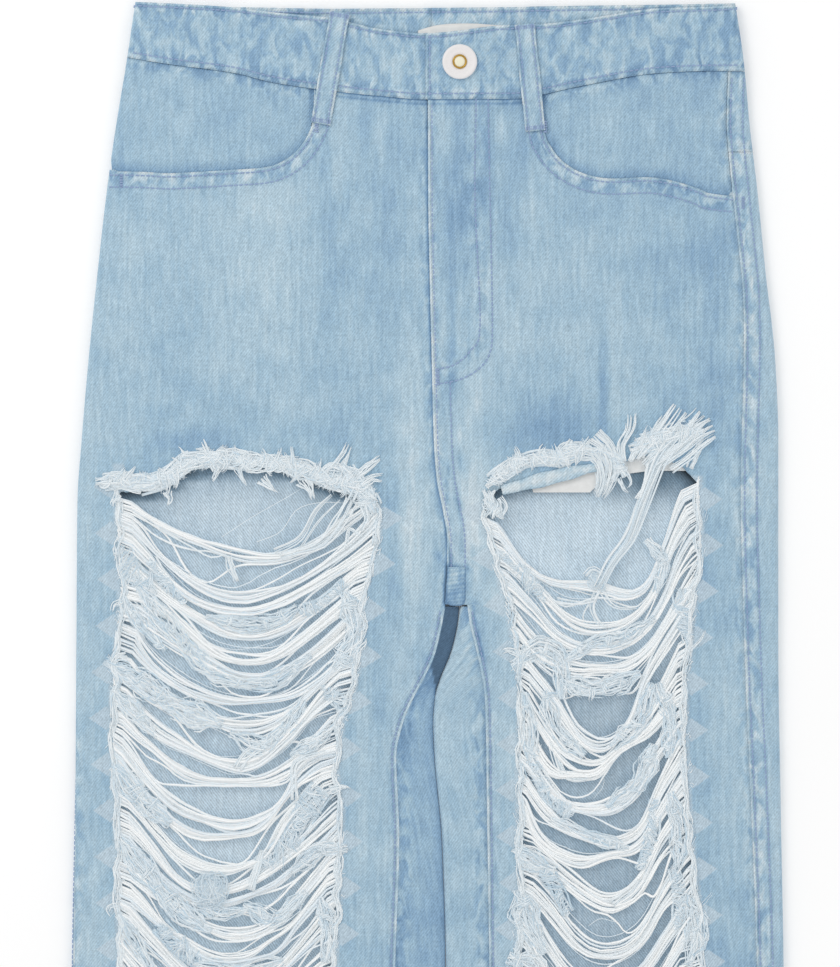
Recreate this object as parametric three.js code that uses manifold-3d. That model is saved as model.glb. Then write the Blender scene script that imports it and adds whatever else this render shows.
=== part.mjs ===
// Ripped high-rise jeans, laid flat on their back: a five-pocket trouser with a shredded front on each leg.
// Units are millimetres. X runs to the viewer's right, Y towards the waist, Z up from the surface they lie on.
// "right" and "left" are the wearer's, so the right leg is at negative X. A drop is a distance below the waist.
import * as THREE from "three";
import Module from "manifold-3d";

// Driving sizes
const CLOTH = 1.2; // wall of one layer of denim
const LINING = 1.0; // wall of the hidden pieces
const BAND_CLOTH = 2.0; // the waistband is doubled
const SEAM = 0.3; // parting between two pieces
const LENGTH = 1060; // waist to hem
const HEM_TOP = 1042; // the hem is turned up and doubled below this
const HEM_CLOTH = 2.1;
const HIP_LOFT = 5.8; // outer height of the flattened body
const LEG_LOFT = 5.2; // outer height of a flattened leg
const BAND_LOFT = 7.0;
const BAND_LIFT = 1.5; // the back of the waistband rides on its belt loops
const BAND_DEPTH = 40.2;
const RAMP = { top: 52, foot: 66 }; // below the waistband the back comes down to the surface
const LAP = { rise: 2.3, end: -2.7, under: 28, flat: 30, foot: 48 }; // the buttoned end over the other end
const CROTCH = 338; // the front rise ends here
const FORK = 360.6; // the legs part here
const FLY = { wide: 38, foot: 232, rise: 0.9 };
const COLOUR = {
  denim: 0x9fc1da, inside: 0xb9cdd8, yarn: 0xe9eef0, cotton: 0xf1efea, disc: 0xe6e3e0, brass: 0xd9b95c,
};

// Outer folds of the garment, and each side seam: its distance round the cloth from the fold, positive on the front.
const OUTLINE = [
  { drop: -2, rightEdge: 176.7, leftEdge: 183.0, rightSeam: -3.5, leftSeam: 10 },
  { drop: 35, rightEdge: 182.2, leftEdge: 188.4, rightSeam: -3.5, leftSeam: 11 },
  { drop: 76, rightEdge: 189.0, leftEdge: 192.3, rightSeam: -3.5, leftSeam: 16 },
  { drop: 110, rightEdge: 193.8, leftEdge: 196.4, rightSeam: -3.5, leftSeam: 17 },
  { drop: 160, rightEdge: 199.5, leftEdge: 201.4, rightSeam: -3.5, leftSeam: 16.6 },
  { drop: 215, rightEdge: 205.2, leftEdge: 207.4, rightSeam: -3.5, leftSeam: 21 },
  { drop: 262, rightEdge: 209.2, leftEdge: 209.2, rightSeam: -3.5, leftSeam: 24 },
  { drop: 298, rightEdge: 211.7, leftEdge: 209.2, rightSeam: -3.5, leftSeam: 24.5 },
  { drop: 382, rightEdge: 212.4, leftEdge: 209.2, rightSeam: -2.5, leftSeam: 22.3 },
  { drop: 478, rightEdge: 213.0, leftEdge: 210.6, rightSeam: 1.5, leftSeam: 19.7 },
  { drop: 578, rightEdge: 214.8, leftEdge: 212.4, rightSeam: 3.2, leftSeam: 17.9 },
  { drop: 780, rightEdge: 216.6, leftEdge: 214.2, rightSeam: 3.4, leftSeam: 16.5 },
  { drop: 1060, rightEdge: 218.0, leftEdge: 216.0, rightSeam: 3.4, leftSeam: 15.5 },
];

// X of the centre seams, front and back.
const CENTRE = [
  { drop: 18, front: -1.2, back: 1.0 },
  { drop: 118, front: -0.9, back: 1.5 },
  { drop: 166, front: 0.0, back: 3.0 },
  { drop: 215, front: 1.2, back: 6.0 },
  { drop: 262, front: 2.4, back: 10.0 },
  { drop: 286, front: 4.2, back: 12.5 },
  { drop: 304, front: 7.8, back: 14.8 },
  { drop: 322, front: 10.4, back: 16.6 },
  { drop: 338, front: 10.5, back: 17.4 },
  { drop: 362, front: 9.0, back: 17.8 },
];

// X of the folds and inseams on the inner side of each leg. The right leg's fold dips below the crotch.
const INNER = [
  { drop: 362, rightInseam: 9.0, rightFold: 17.0, leftFold: 18.6, leftInseam: 22.6, rightRise: 5.2 },
  { drop: 372, rightInseam: 7.2, rightFold: 16.0, leftFold: 17.4, leftInseam: 24.0, rightRise: 4.7 },
  { drop: 390, rightInseam: 3.0, rightFold: 11.8, leftFold: 13.2, leftInseam: 28.4, rightRise: 4.3 },
  { drop: 402, rightInseam: -2.2, rightFold: 6.8, leftFold: 8.2, leftInseam: 31.0, rightRise: 4.3 },
  { drop: 416, rightInseam: -9.6, rightFold: 2.4, leftFold: 3.7, leftInseam: 33.0, rightRise: 4.5 },
  { drop: 432, rightInseam: -16.4, rightFold: 1.2, leftFold: 2.5, leftInseam: 33.6, rightRise: 4.7 },
  { drop: 452, rightInseam: -20.4, rightFold: 2.0, leftFold: 3.3, leftInseam: 33.9, rightRise: 4.8 },
  { drop: 500, rightInseam: -18.6, rightFold: 6.3, leftFold: 7.7, leftInseam: 34.6, rightRise: 5.0 },
  { drop: 578, rightInseam: -21.0, rightFold: 8.6, leftFold: 10.2, leftInseam: 35.6, rightRise: 5.1 },
  { drop: 780, rightInseam: -24.5, rightFold: 3.5, leftFold: 13.5, leftInseam: 38.0, rightRise: 5.2 },
  { drop: 1060, rightInseam: -28.0, rightFold: -5.0, leftFold: 18.0, leftInseam: 42.0, rightRise: 5.2 },
];

// Upper and lower edges of the front waistband, and the upper edge of its back.
const BAND = [
  { x: -186, top: -1.2, bottom: 31.4, back: -1.2 },
  { x: -158, top: 0.0, bottom: 36.0, back: 0.6 },
  { x: -118, top: 2.4, bottom: 41.4, back: 2.0 },
  { x: -94, top: 5.4, bottom: 47.2, back: 2.4 },
  { x: -61, top: 8.6, bottom: 52.0, back: 3.0 },
  { x: -29, top: 15.6, bottom: 55.4, back: 2.8 },
  { x: -2, top: 18.0, bottom: 57.4, back: 2.5 },
  { x: 50, top: 12.8, bottom: 57.0, back: 2.0 },
  { x: 66, top: 12.4, bottom: 54.6, back: 1.6 },
  { x: 91, top: 9.6, bottom: 49.2, back: 1.2 },
  { x: 139, top: 2.8, bottom: 41.4, back: 0.6 },
  { x: 171, top: 1.8, bottom: 40.2, back: 0.0 },
  { x: 192, top: 0.6, bottom: 40.2, back: -0.4 },
];

// Pocket openings, from the waistband round to the side. out is the distance outwards from X = 0.
const RIGHT_OPENING = [
  { out: 69.3, drop: 50 }, { out: 70.2, drop: 69 }, { out: 72.6, drop: 77.4 }, { out: 78.4, drop: 86.6 },
  { out: 86.4, drop: 93.6 }, { out: 98, drop: 98.2 }, { out: 117.6, drop: 99.8 }, { out: 138, drop: 101 },
  { out: 157.8, drop: 101.9 }, { out: 176, drop: 101 },
];
const LEFT_OPENING = [
  { out: 66.6, drop: 54 }, { out: 68.8, drop: 76.8 }, { out: 72, drop: 84.8 }, { out: 78.4, drop: 93.6 },
  { out: 90.6, drop: 101.4 }, { out: 106.5, drop: 105 }, { out: 130.6, drop: 104.3 }, { out: 146.7, drop: 106.7 },
  { out: 162.6, drop: 111.6 }, { out: 172, drop: 114.6 },
];
const UNDERLAP = 8; // the facing runs this far under the front

// The two big rips.
const RIGHT_RIP = [
  { x: -186, drop: 293.4 }, { x: -168, drop: 292.2 }, { x: -153, drop: 285 }, { x: -141, drop: 279.6 },
  { x: -114, drop: 277.8 }, { x: -84, drop: 280.2 }, { x: -70.8, drop: 287.4 }, { x: -51, drop: 293.4 },
  { x: -32.4, drop: 298.2 }, { x: -30.6, drop: 310.2 }, { x: -34.8, drop: 334.2 }, { x: -40.2, drop: 352.2 },
  { x: -43.2, drop: 388.2 }, { x: -46.8, drop: 412.2 }, { x: -54, drop: 430.2 }, { x: -57.6, drop: 460.2 },
  { x: -54.2, drop: 484.2 }, { x: -55.6, drop: 514.2 }, { x: -56.2, drop: 544.2 }, { x: -58.2, drop: 574.2 },
  { x: -60, drop: 604 }, { x: -61, drop: 646 }, { x: -64.4, drop: 678 }, { x: -80, drop: 692 },
  { x: -126, drop: 699 }, { x: -166, drop: 693 }, { x: -182, drop: 674 }, { x: -184.8, drop: 634 },
  { x: -185.4, drop: 578 }, { x: -186, drop: 538 }, { x: -186.6, drop: 496 }, { x: -189, drop: 454 },
  { x: -190.2, drop: 424 }, { x: -188.6, drop: 397 }, { x: -184.6, drop: 374 }, { x: -184.6, drop: 346 },
  { x: -186.6, drop: 322 },
];
const LEFT_RIP = [
  { x: 31.8, drop: 300 }, { x: 42, drop: 291.6 }, { x: 66, drop: 286.2 }, { x: 96, drop: 280.2 },
  { x: 114, drop: 276 }, { x: 132, drop: 271.8 }, { x: 150, drop: 277.8 }, { x: 160.2, drop: 288.6 },
  { x: 161.4, drop: 310.2 }, { x: 160.8, drop: 334.2 }, { x: 157.2, drop: 358.2 }, { x: 154.8, drop: 388.2 },
  { x: 151.8, drop: 418.2 }, { x: 152.4, drop: 454.2 }, { x: 154.2, drop: 484.2 }, { x: 156.6, drop: 514.2 },
  { x: 160.2, drop: 541.2 }, { x: 163.2, drop: 568.2 }, { x: 163, drop: 598 }, { x: 161.4, drop: 640 },
  { x: 157.6, drop: 674 }, { x: 142, drop: 691 }, { x: 102, drop: 698 }, { x: 71, drop: 691 },
  { x: 57.2, drop: 674 }, { x: 54, drop: 634 }, { x: 51.6, drop: 586 }, { x: 53.4, drop: 556 },
  { x: 56.4, drop: 529 }, { x: 54.6, drop: 508 }, { x: 54, drop: 472 }, { x: 54.6, drop: 442 },
  { x: 55.4, drop: 412 }, { x: 52.8, drop: 391 }, { x: 49.2, drop: 370 }, { x: 43.2, drop: 346 },
  { x: 37.2, drop: 325 }, { x: 33.2, drop: 310 },
];

// Swags of weft yarn across each rip, drops only: its outer end, its lowest point and its inner end.
// at is the X of the lowest point.
const RIGHT_SWAGS = [
  { outer: 303, low: 332, inner: 306, at: -108, wide: 6.5 },
  { outer: 315, low: 358, inner: 320, at: -110, wide: 6.0 },
  { outer: 330, low: 372, inner: 338, at: -108, wide: 6.0 },
  { outer: 350, low: 386, inner: 355, at: -107, wide: 5.0 },
  { outer: 370, low: 400, inner: 373, at: -107, wide: 6.0 },
  { outer: 388, low: 415, inner: 390, at: -110, wide: 6.5 },
  { outer: 406, low: 432, inner: 405, at: -112, wide: 6.0 },
  { outer: 424, low: 457, inner: 420, at: -114, wide: 6.0 },
  { outer: 442, low: 473, inner: 436, at: -112, wide: 5.0 },
  { outer: 460, low: 492, inner: 453, at: -117, wide: 6.0 },
  { outer: 478, low: 507, inner: 470, at: -116, wide: 5.5 },
  { outer: 495, low: 525, inner: 488, at: -116, wide: 6.5 },
  { outer: 513, low: 543, inner: 507, at: -112, wide: 6.5 },
  { outer: 531, low: 560, inner: 526, at: -112, wide: 6.5 },
  { outer: 549, low: 577, inner: 545, at: -118, wide: 6.0 },
  { outer: 567, low: 595, inner: 563, at: -116, wide: 6.0 },
  { outer: 585, low: 613, inner: 581, at: -114, wide: 6.5 },
  { outer: 603, low: 631, inner: 600, at: -118, wide: 5.5 },
  { outer: 621, low: 648, inner: 617, at: -120, wide: 6.5 },
  { outer: 639, low: 665, inner: 635, at: -121, wide: 6.0 },
  { outer: 656, low: 681, inner: 653, at: -122, wide: 5.5 },
];
const LEFT_SWAGS = [
  { outer: 303, low: 350, inner: 314, at: 96, wide: 6.0 },
  { outer: 332, low: 371, inner: 336, at: 100, wide: 6.5 },
  { outer: 350, low: 387, inner: 354, at: 103, wide: 6.0 },
  { outer: 367, low: 404, inner: 372, at: 104, wide: 7.5 },
  { outer: 388, low: 442, inner: 395, at: 98, wide: 7.0 },
  { outer: 407, low: 460, inner: 418, at: 94, wide: 4.5 },
  { outer: 425, low: 480, inner: 440, at: 98, wide: 6.0 },
  { outer: 446, low: 497, inner: 460, at: 102, wide: 6.0 },
  { outer: 467, low: 514, inner: 481, at: 98, wide: 7.0 },
  { outer: 488, low: 535, inner: 500, at: 104, wide: 6.5 },
  { outer: 509, low: 555, inner: 519, at: 100, wide: 5.5 },
  { outer: 531, low: 574, inner: 539, at: 102, wide: 6.5 },
  { outer: 551, low: 592, inner: 558, at: 104, wide: 6.0 },
  { outer: 570, low: 610, inner: 577, at: 101, wide: 6.5 },
  { outer: 589, low: 628, inner: 596, at: 105, wide: 6.0 },
  { outer: 608, low: 646, inner: 614, at: 103, wide: 6.5 },
  { outer: 627, low: 663, inner: 632, at: 106, wide: 5.5 },
  { outer: 645, low: 679, inner: 650, at: 104, wide: 6.0 },
];
const SWAG_STEPS = 10;
const SWAG_THICK = 1.5;
const STRIP = { inset: 0.3, wide: 2.4, below: 0.2, thick: 1.1 }; // the frayed strip that the yarns hang from

// Tufts along the head of each rip. angle is where the tip points, anticlockwise from the viewer's right.
const RIGHT_TUFTS = [
  { x: -178, angle: 150, long: 11, wide: 3.0 }, { x: -166, angle: 140, long: 9, wide: 3.4 },
  { x: -152, angle: 128, long: 10, wide: 3.4 }, { x: -142, angle: 112, long: 14, wide: 3.6 },
  { x: -132, angle: 100, long: 10, wide: 3.2 }, { x: -121, angle: 88, long: 9, wide: 3.4 },
  { x: -110, angle: 84, long: 10, wide: 3.2 }, { x: -98, angle: 76, long: 9, wide: 3.4 },
  { x: -87, angle: 70, long: 10, wide: 3.0 }, { x: -77, angle: 62, long: 10, wide: 3.2 },
  { x: -67, angle: 70, long: 14, wide: 3.4 }, { x: -57, angle: 62, long: 18, wide: 3.6 },
  { x: -47, angle: 56, long: 17, wide: 3.6 }, { x: -38, angle: 42, long: 13, wide: 3.4 },
];
const LEFT_TUFTS = [
  { x: 40, angle: 140, long: 8, wide: 3.2 }, { x: 49, angle: 120, long: 9, wide: 3.4 },
  { x: 60, angle: 105, long: 10, wide: 3.4 }, { x: 70, angle: 96, long: 10, wide: 3.4 },
  { x: 79, angle: 84, long: 15, wide: 3.4 }, { x: 88, angle: 68, long: 17, wide: 3.4 },
  { x: 98, angle: 74, long: 14, wide: 3.4 }, { x: 106, angle: 78, long: 18, wide: 3.2 },
  { x: 114, angle: 80, long: 25, wide: 3.0 }, { x: 122, angle: 68, long: 20, wide: 3.2 },
  { x: 130, angle: 60, long: 27, wide: 3.6 }, { x: 139, angle: 56, long: 26, wide: 3.6 },
  { x: 147, angle: 54, long: 22, wide: 3.4 },
];

// Soft creases of the front, each a line with a half width and a height.
const CREASES = [
  { x0: 103, drop0: 190, x1: 105, drop1: 292, half: 9, high: 0.5 },
  { x0: -95, drop0: 140, x1: -98, drop1: 250, half: 22, high: 0.4 },
  { x0: 24, drop0: 268, x1: 26, drop1: 340, half: 9, high: -0.6 },
  { x0: -12, drop0: 246, x1: -14, drop1: 352, half: 12, high: 0.4 },
  { x0: -34, drop0: 500, x1: -40, drop1: 640, half: 9, high: 0.5 },
  { x0: 44, drop0: 520, x1: 46, drop1: 680, half: 8, high: -0.5 },
  { x0: -120, drop0: 730, x1: -112, drop1: 960, half: 24, high: 0.5 },
  { x0: 100, drop0: 725, x1: 112, drop1: 980, half: 24, high: 0.5 },
  { x0: -196, drop0: 730, x1: -150, drop1: 790, half: 13, high: -0.6 },
  { x0: 186, drop0: 735, x1: 140, drop1: 800, half: 13, high: -0.6 },
];

const YOKE = { side: 89, centre: 116 }; // drop of the yoke seam
// A back pocket is a five-sided patch in the hollow that it presses into the panel above it.
const POCKET = { inner: 48, outer: 172, top: 142, side: 262, point: 284, lift: 1.5, ramp: 7, clear: 1.2 };
const BAG = { low: 1.9, high: 3.15, rampTop: 126, rampFoot: 136 };
const RIGHT_BAG = [
  { x: -172, drop: 67 }, { x: -38, drop: 67 }, { x: -40, drop: 206 }, { x: -52, drop: 258 }, { x: -120, drop: 268 },
  { x: -178, drop: 258 }, { x: -190, drop: 206 }, { x: -180, drop: 110 },
];
const LEFT_BAG = [
  { x: 172, drop: 67 }, { x: 46, drop: 67 }, { x: 48, drop: 206 }, { x: 54, drop: 262 }, { x: 62, drop: 293.5 },
  { x: 96, drop: 293.5 }, { x: 106, drop: 284 }, { x: 132, drop: 280.5 }, { x: 160, drop: 280.5 },
  { x: 184, drop: 262 }, { x: 190, drop: 206 }, { x: 178, drop: 110 },
];

// Belt loops: the two ends of each centre line. The back ones lie under the waistband.
const LOOP = { wide: 11, thick: 1.2 };
const LOOPS = [
  { name: "belt_loop_front_right", x0: -54, drop0: 5.4, x1: -65.6, drop1: 72.4, back: false },
  { name: "belt_loop_front_left", x0: 56.8, drop0: 12.6, x1: 63.2, drop1: 76.6, back: false },
  { name: "belt_loop_back_right", x0: -108, drop0: 0.6, x1: -110, drop1: 51, back: true },
  { name: "belt_loop_back_centre", x0: 1, drop0: 1, x1: 1, drop1: 51, back: true },
  { name: "belt_loop_back_left", x0: 110, drop0: 0.6, x1: 112, drop1: 51, back: true },
];
const BUTTON = { x: 17.8, drop: 35.4, radius: 10.3, thick: 2.0, hubRadius: 4.4, hubThick: 0.9 };
const TAPE = { x0: -5, x1: 49, drop0: 12.4, drop1: 34, thick: 1.0 };

const wasm = await Module();
wasm.setup();

const QUARTER = Math.PI / 2;
const clamp01 = (t) => Math.min(1, Math.max(0, t));
const smooth = (low, high, value) => {
  const t = clamp01((value - low) / (high - low));
  return t * t * (3 - 2 * t);
};
const mix = (a, b, t) => a + (b - a) * t;

// The value of a column of a table, smooth through its rows and never past them.
function read(rows, key, column, at) {
  const last = rows.length - 1;
  if (at <= rows[0][key]) return rows[0][column];
  if (at >= rows[last][key]) return rows[last][column];
  let i = 0;
  while (at > rows[i + 1][key]) i++;
  const slope = (k) => (rows[k + 1][column] - rows[k][column]) / (rows[k + 1][key] - rows[k][key]);
  const tangent = (k) => {
    if (k === 0 || k === last) return slope(Math.min(k, last - 1));
    const [a, b] = [slope(k - 1), slope(k)];
    return a * b <= 0 ? 0 : (2 * a * b) / (a + b);
  };
  const wide = rows[i + 1][key] - rows[i][key];
  const t = (at - rows[i][key]) / wide;
  const [t2, t3] = [t * t, t * t * t];
  return (
    (2 * t3 - 3 * t2 + 1) * rows[i][column] +
    (t3 - 2 * t2 + t) * wide * tangent(i) +
    (3 * t2 - 2 * t3) * rows[i + 1][column] +
    (t3 - t2) * wide * tangent(i + 1)
  );
}

// The two sides. hand is the sign of X outwards. Edges, folds and inseams are distances outwards from X = 0.
const SIDES = [
  {
    name: "right", hand: -1, opening: RIGHT_OPENING, rip: RIGHT_RIP, swags: RIGHT_SWAGS, tufts: RIGHT_TUFTS,
    bag: RIGHT_BAG,
    edge: (drop) => read(OUTLINE, "drop", "rightEdge", drop),
    seam: (drop) => read(OUTLINE, "drop", "rightSeam", drop),
    fold: (drop) => -read(INNER, "drop", "rightFold", drop),
    inseam: (drop) => -read(INNER, "drop", "rightInseam", drop),
    rise: (drop) => mix(loft(drop), read(INNER, "drop", "rightRise", drop), smooth(CROTCH, FORK, drop)),
  },
  {
    name: "left", hand: 1, opening: LEFT_OPENING, rip: LEFT_RIP, swags: LEFT_SWAGS, tufts: LEFT_TUFTS,
    bag: LEFT_BAG,
    edge: (drop) => read(OUTLINE, "drop", "leftEdge", drop),
    seam: (drop) => read(OUTLINE, "drop", "leftSeam", drop),
    fold: (drop) => read(INNER, "drop", "leftFold", drop),
    inseam: (drop) => read(INNER, "drop", "leftInseam", drop),
    rise: (drop) => loft(drop),
  },
];

const loft = (drop) => mix(HIP_LOFT, LEG_LOFT, smooth(300, 430, drop));
const underside = (drop) => BAND_LIFT * (1 - smooth(RAMP.top, RAMP.foot, drop));
const clothAt = (drop) => (drop > HEM_TOP + 0.3 ? HEM_CLOTH : CLOTH);
const bandEdge = (column, x) => read(BAND, "x", column, x);

// Height of the creases at a place on the front.
function relief(x, drop) {
  let high = 0;
  for (const c of CREASES) {
    const [dx, dd] = [c.x1 - c.x0, c.drop1 - c.drop0];
    const along = ((x - c.x0) * dx + (drop - c.drop0) * dd) / (dx * dx + dd * dd);
    const away = Math.hypot(x - c.x0 - clamp01(along) * dx, drop - c.drop0 - clamp01(along) * dd);
    high += c.high * smooth(-0.1, 0.25, along) * (1 - smooth(0.75, 1.1, along)) * Math.exp(-((away / c.half) ** 2));
  }
  return high;
}

// The left front rises over the layers of the fly, and further where it meets the lapped end of the waistband.
function flyRise(x, drop) {
  const across = 1 - smooth(FLY.wide - 6, FLY.wide + 8, x);
  return across * (FLY.rise * (1 - smooth(FLY.foot - 14, FLY.foot + 8, drop)) + 1.4 * (1 - smooth(60, 96, drop)));
}

// Outer height of the front at a place.
function frontHeight(side, x, drop) {
  const out = side.hand * x;
  const fromInseam = drop > CROTCH ? out - side.inseam(Math.max(drop, 362)) : 99;
  const dip = (loft(drop) - side.rise(drop)) * (1 - smooth(2, 26, fromInseam));
  const fly = side.hand > 0 ? flyRise(x, drop) : 0;
  return loft(drop) - dip + fly + relief(x, drop) * smooth(3, 14, side.edge(drop) - out);
}

function pocketLift(out, drop) {
  const { inner, outer, top, point, lift, ramp, clear } = POCKET;
  const across = smooth(inner - clear - ramp, inner - clear, out) * (1 - smooth(outer + clear, outer + clear + ramp, out));
  return lift * across * smooth(top - clear - ramp, top - clear, drop) * (1 - smooth(point + clear, point + clear + ramp, drop));
}

// The skin of one side, unrolled: from the front over the outer fold to the back. round is the distance
// outwards along the cloth from X = 0. The result is a point and the direction to the inside.
function skin(side, round, drop, level = { high: loft(drop), low: underside(drop), body: true }) {
  const radius = (level.high - level.low) / 2;
  const turn = side.edge(drop) - radius;
  if (round <= turn) {
    const lift = level.body ? frontHeight(side, side.hand * round, drop) - loft(drop) : (level.lift ?? (() => 0))(round);
    return { x: side.hand * round, z: level.high + lift, nx: 0, nz: -1 };
  }
  const angle = QUARTER - (round - turn) / radius;
  if (angle > -QUARTER) {
    const [c, s] = [Math.cos(angle), Math.sin(angle)];
    return { x: side.hand * (turn + radius * c), z: level.low + radius * (1 + s), nx: -side.hand * c, nz: -s };
  }
  const out = turn - (round - turn - 2 * QUARTER * radius);
  return { x: side.hand * out, z: level.low + (level.body ? pocketLift(out, drop) : 0), nx: 0, nz: 1 };
}

// Distances round the cloth, at a drop, of the fold's start, its end, the side seam and a place on the back.
function rounds(side, drop, high = loft(drop), low = underside(drop)) {
  const radius = (high - low) / 2;
  const turn = side.edge(drop) - radius;
  const seam = Math.max(side.seam(drop), -0.86 * QUARTER * radius);
  return {
    turn,
    end: turn + 2 * QUARTER * radius,
    seam: turn + QUARTER * radius - (side.hand < 0 ? Math.min(seam, 0.86 * QUARTER * radius) : seam),
    onBack: (out) => turn + 2 * QUARTER * radius + (turn - out),
  };
}

const spread = (from, to, steps) => Array.from({ length: steps }, (_, i) => mix(from, to, (i + 1) / steps));

// A corner of a wall: its outer and inner points at one place.
function corner(p, drop, thick, sunk = 0) {
  return {
    outer: [p.x + p.nx * sunk, -drop, p.z + p.nz * sunk],
    inner: [p.x + p.nx * (sunk + thick), -drop, p.z + p.nz * (sunk + thick)],
  };
}

// A closed wall from rows of corners. keep says which cells of the grid are cloth.
function wall(grid, keep = () => true) {
  const [rows, cols] = [grid.length, grid[0].length];
  const position = [];
  for (const face of ["outer", "inner"]) for (const row of grid) for (const p of row) position.push(...p[face]);
  const id = (face, r, c) => face * rows * cols + r * cols + c;
  const index = [];
  const quad = (a, b, c, d) => index.push(a, b, c, a, c, d);
  const there = (r, c) => r >= 0 && c >= 0 && r < rows - 1 && c < cols - 1 && keep(r, c);
  for (let r = 0; r < rows - 1; r++)
    for (let c = 0; c < cols - 1; c++) {
      if (!there(r, c)) continue;
      quad(id(0, r, c), id(0, r + 1, c), id(0, r + 1, c + 1), id(0, r, c + 1));
      quad(id(1, r, c), id(1, r, c + 1), id(1, r + 1, c + 1), id(1, r + 1, c));
      if (!there(r, c - 1)) quad(id(0, r, c), id(1, r, c), id(1, r + 1, c), id(0, r + 1, c));
      if (!there(r, c + 1)) quad(id(0, r, c + 1), id(0, r + 1, c + 1), id(1, r + 1, c + 1), id(1, r, c + 1));
      if (!there(r - 1, c)) quad(id(0, r, c), id(0, r, c + 1), id(1, r, c + 1), id(1, r, c));
      if (!there(r + 1, c)) quad(id(0, r + 1, c), id(1, r + 1, c), id(1, r + 1, c + 1), id(0, r + 1, c + 1));
    }
  return solid(position, index);
}

// A closed tube through rings of points, capped at its ends or joined end to end.
function tube(rings, joined = false) {
  const sides = rings[0].length;
  const index = [];
  for (let r = 0; r < rings.length - (joined ? 0 : 1); r++)
    for (let k = 0; k < sides; k++) {
      const next = ((r + 1) % rings.length) * sides;
      const [a, b, c, d] = [r * sides + k, r * sides + ((k + 1) % sides), next + ((k + 1) % sides), next + k];
      index.push(a, b, c, a, c, d);
    }
  if (!joined)
    for (let k = 1; k + 1 < sides; k++) {
      const end = (rings.length - 1) * sides;
      index.push(0, k + 1, k, end, end + k, end + k + 1);
    }
  return solid(rings.flat(2), index);
}

// A solid from points and triangles, with its faces turned outwards.
function solid(position, index) {
  let volume = 0;
  const p = (i) => new THREE.Vector3().fromArray(position, i * 3);
  for (let i = 0; i < index.length; i += 3) volume += p(index[i]).dot(p(index[i + 1]).cross(p(index[i + 2])));
  if (volume < 0) for (let i = 0; i < index.length; i += 3) [index[i], index[i + 1]] = [index[i + 1], index[i]];
  const used = [...new Set(index)];
  const renumber = new Map(used.map((old, i) => [old, i]));
  const mesh = new wasm.Mesh({
    numProp: 3,
    vertProperties: new Float32Array(used.flatMap((i) => position.slice(i * 3, i * 3 + 3))),
    triVerts: new Uint32Array(index.map((i) => renumber.get(i))),
  });
  mesh.merge();
  return new wasm.Manifold(mesh);
}

// A plate of the outline's shape between two heights.
function plate(outline, low, high) {
  const shape = new THREE.Shape(outline.map((p) => new THREE.Vector2(p.x, -p.drop)));
  const geometry = new THREE.ExtrudeGeometry(shape, { depth: high - low, bevelEnabled: false, steps: 1 });
  geometry.translate(0, 0, low);
  const position = Array.from(geometry.getAttribute("position").array);
  return solid(position, Array.from({ length: position.length / 3 }, (_, i) => i));
}

function geometryOf(body) {
  const mesh = body.getMesh();
  const geometry = new THREE.BufferGeometry();
  geometry.setAttribute("position", new THREE.BufferAttribute(new Float32Array(mesh.vertProperties), 3));
  geometry.setIndex(new THREE.BufferAttribute(new Uint32Array(mesh.triVerts), 1));
  geometry.computeVertexNormals();
  return geometry;
}

const DROPS = [
  66, 84, 104, 124, 142, 172, 205, 226, 246, 266, 284, 300, 316, 327, CROTCH, 349, FORK, 362, 372, 381, 390, 402,
  416, 432, 452, 476, 500, 540, 578, 626, 676, 728, 780, 840, 905, 970, 1020, HEM_TOP, HEM_TOP + 0.6, LENGTH,
];
const FORK_ROW = DROPS.indexOf(FORK);
const BACK_DROPS = [
  ...[POCKET.top - POCKET.clear - POCKET.ramp, POCKET.top - POCKET.clear, 180, 215, 240, 262],
  ...[POCKET.point + POCKET.clear, POCKET.point + POCKET.clear + POCKET.ramp],
  ...DROPS.filter((drop) => drop >= 300),
];

// A front, from the centre seam or inseam out to the side seam.
function frontPanel(side) {
  const rowAt = (dropOf, at) => {
    const centre = side.hand * read(CENTRE, "drop", "front", at) + SEAM / 2;
    const inner = at > FORK ? side.inseam(at) + SEAM / 2 : centre;
    const { turn, seam } = rounds(side, at);
    const tab = Math.max(inner + 1, at > FORK ? inner + 1 : mix(centre + 12, side.inseam(362), smooth(300, FORK, at)));
    const line = side.hand > 0 ? [inner, mix(inner, tab, 0.5), tab] : [inner];
    const flatEnd = Math.min(turn, seam - SEAM / 2);
    line.push(...spread(line.at(-1), flatEnd, 10));
    if (side.hand < 0) line.push(...spread(turn, seam - SEAM / 2, 4));
    return line.map((round) => {
      const drop = dropOf(side.hand * round);
      return corner(skin(side, round, drop), drop, clothAt(drop));
    });
  };
  const grid = [rowAt((x) => bandEdge("bottom", x) + SEAM, 48), ...DROPS.map((drop) => rowAt(() => drop, drop))];
  const keep = side.hand > 0 ? (r, c) => r <= FORK_ROW || c >= 2 : () => true;
  // Below the fork the tab's columns aren't cloth, so the third column carries the inseam.
  if (side.hand > 0)
    DROPS.forEach((drop, i) => {
      if (drop > FORK) grid[i + 1][2] = corner(skin(side, side.inseam(drop) + SEAM / 2, drop), drop, clothAt(drop));
    });
  return wall(grid, keep);
}

function yokeLine(side, x, onBack) {
  return onBack ? mix(YOKE.centre, YOKE.side, clamp01((side.hand * x) / 186)) : YOKE.side;
}

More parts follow.
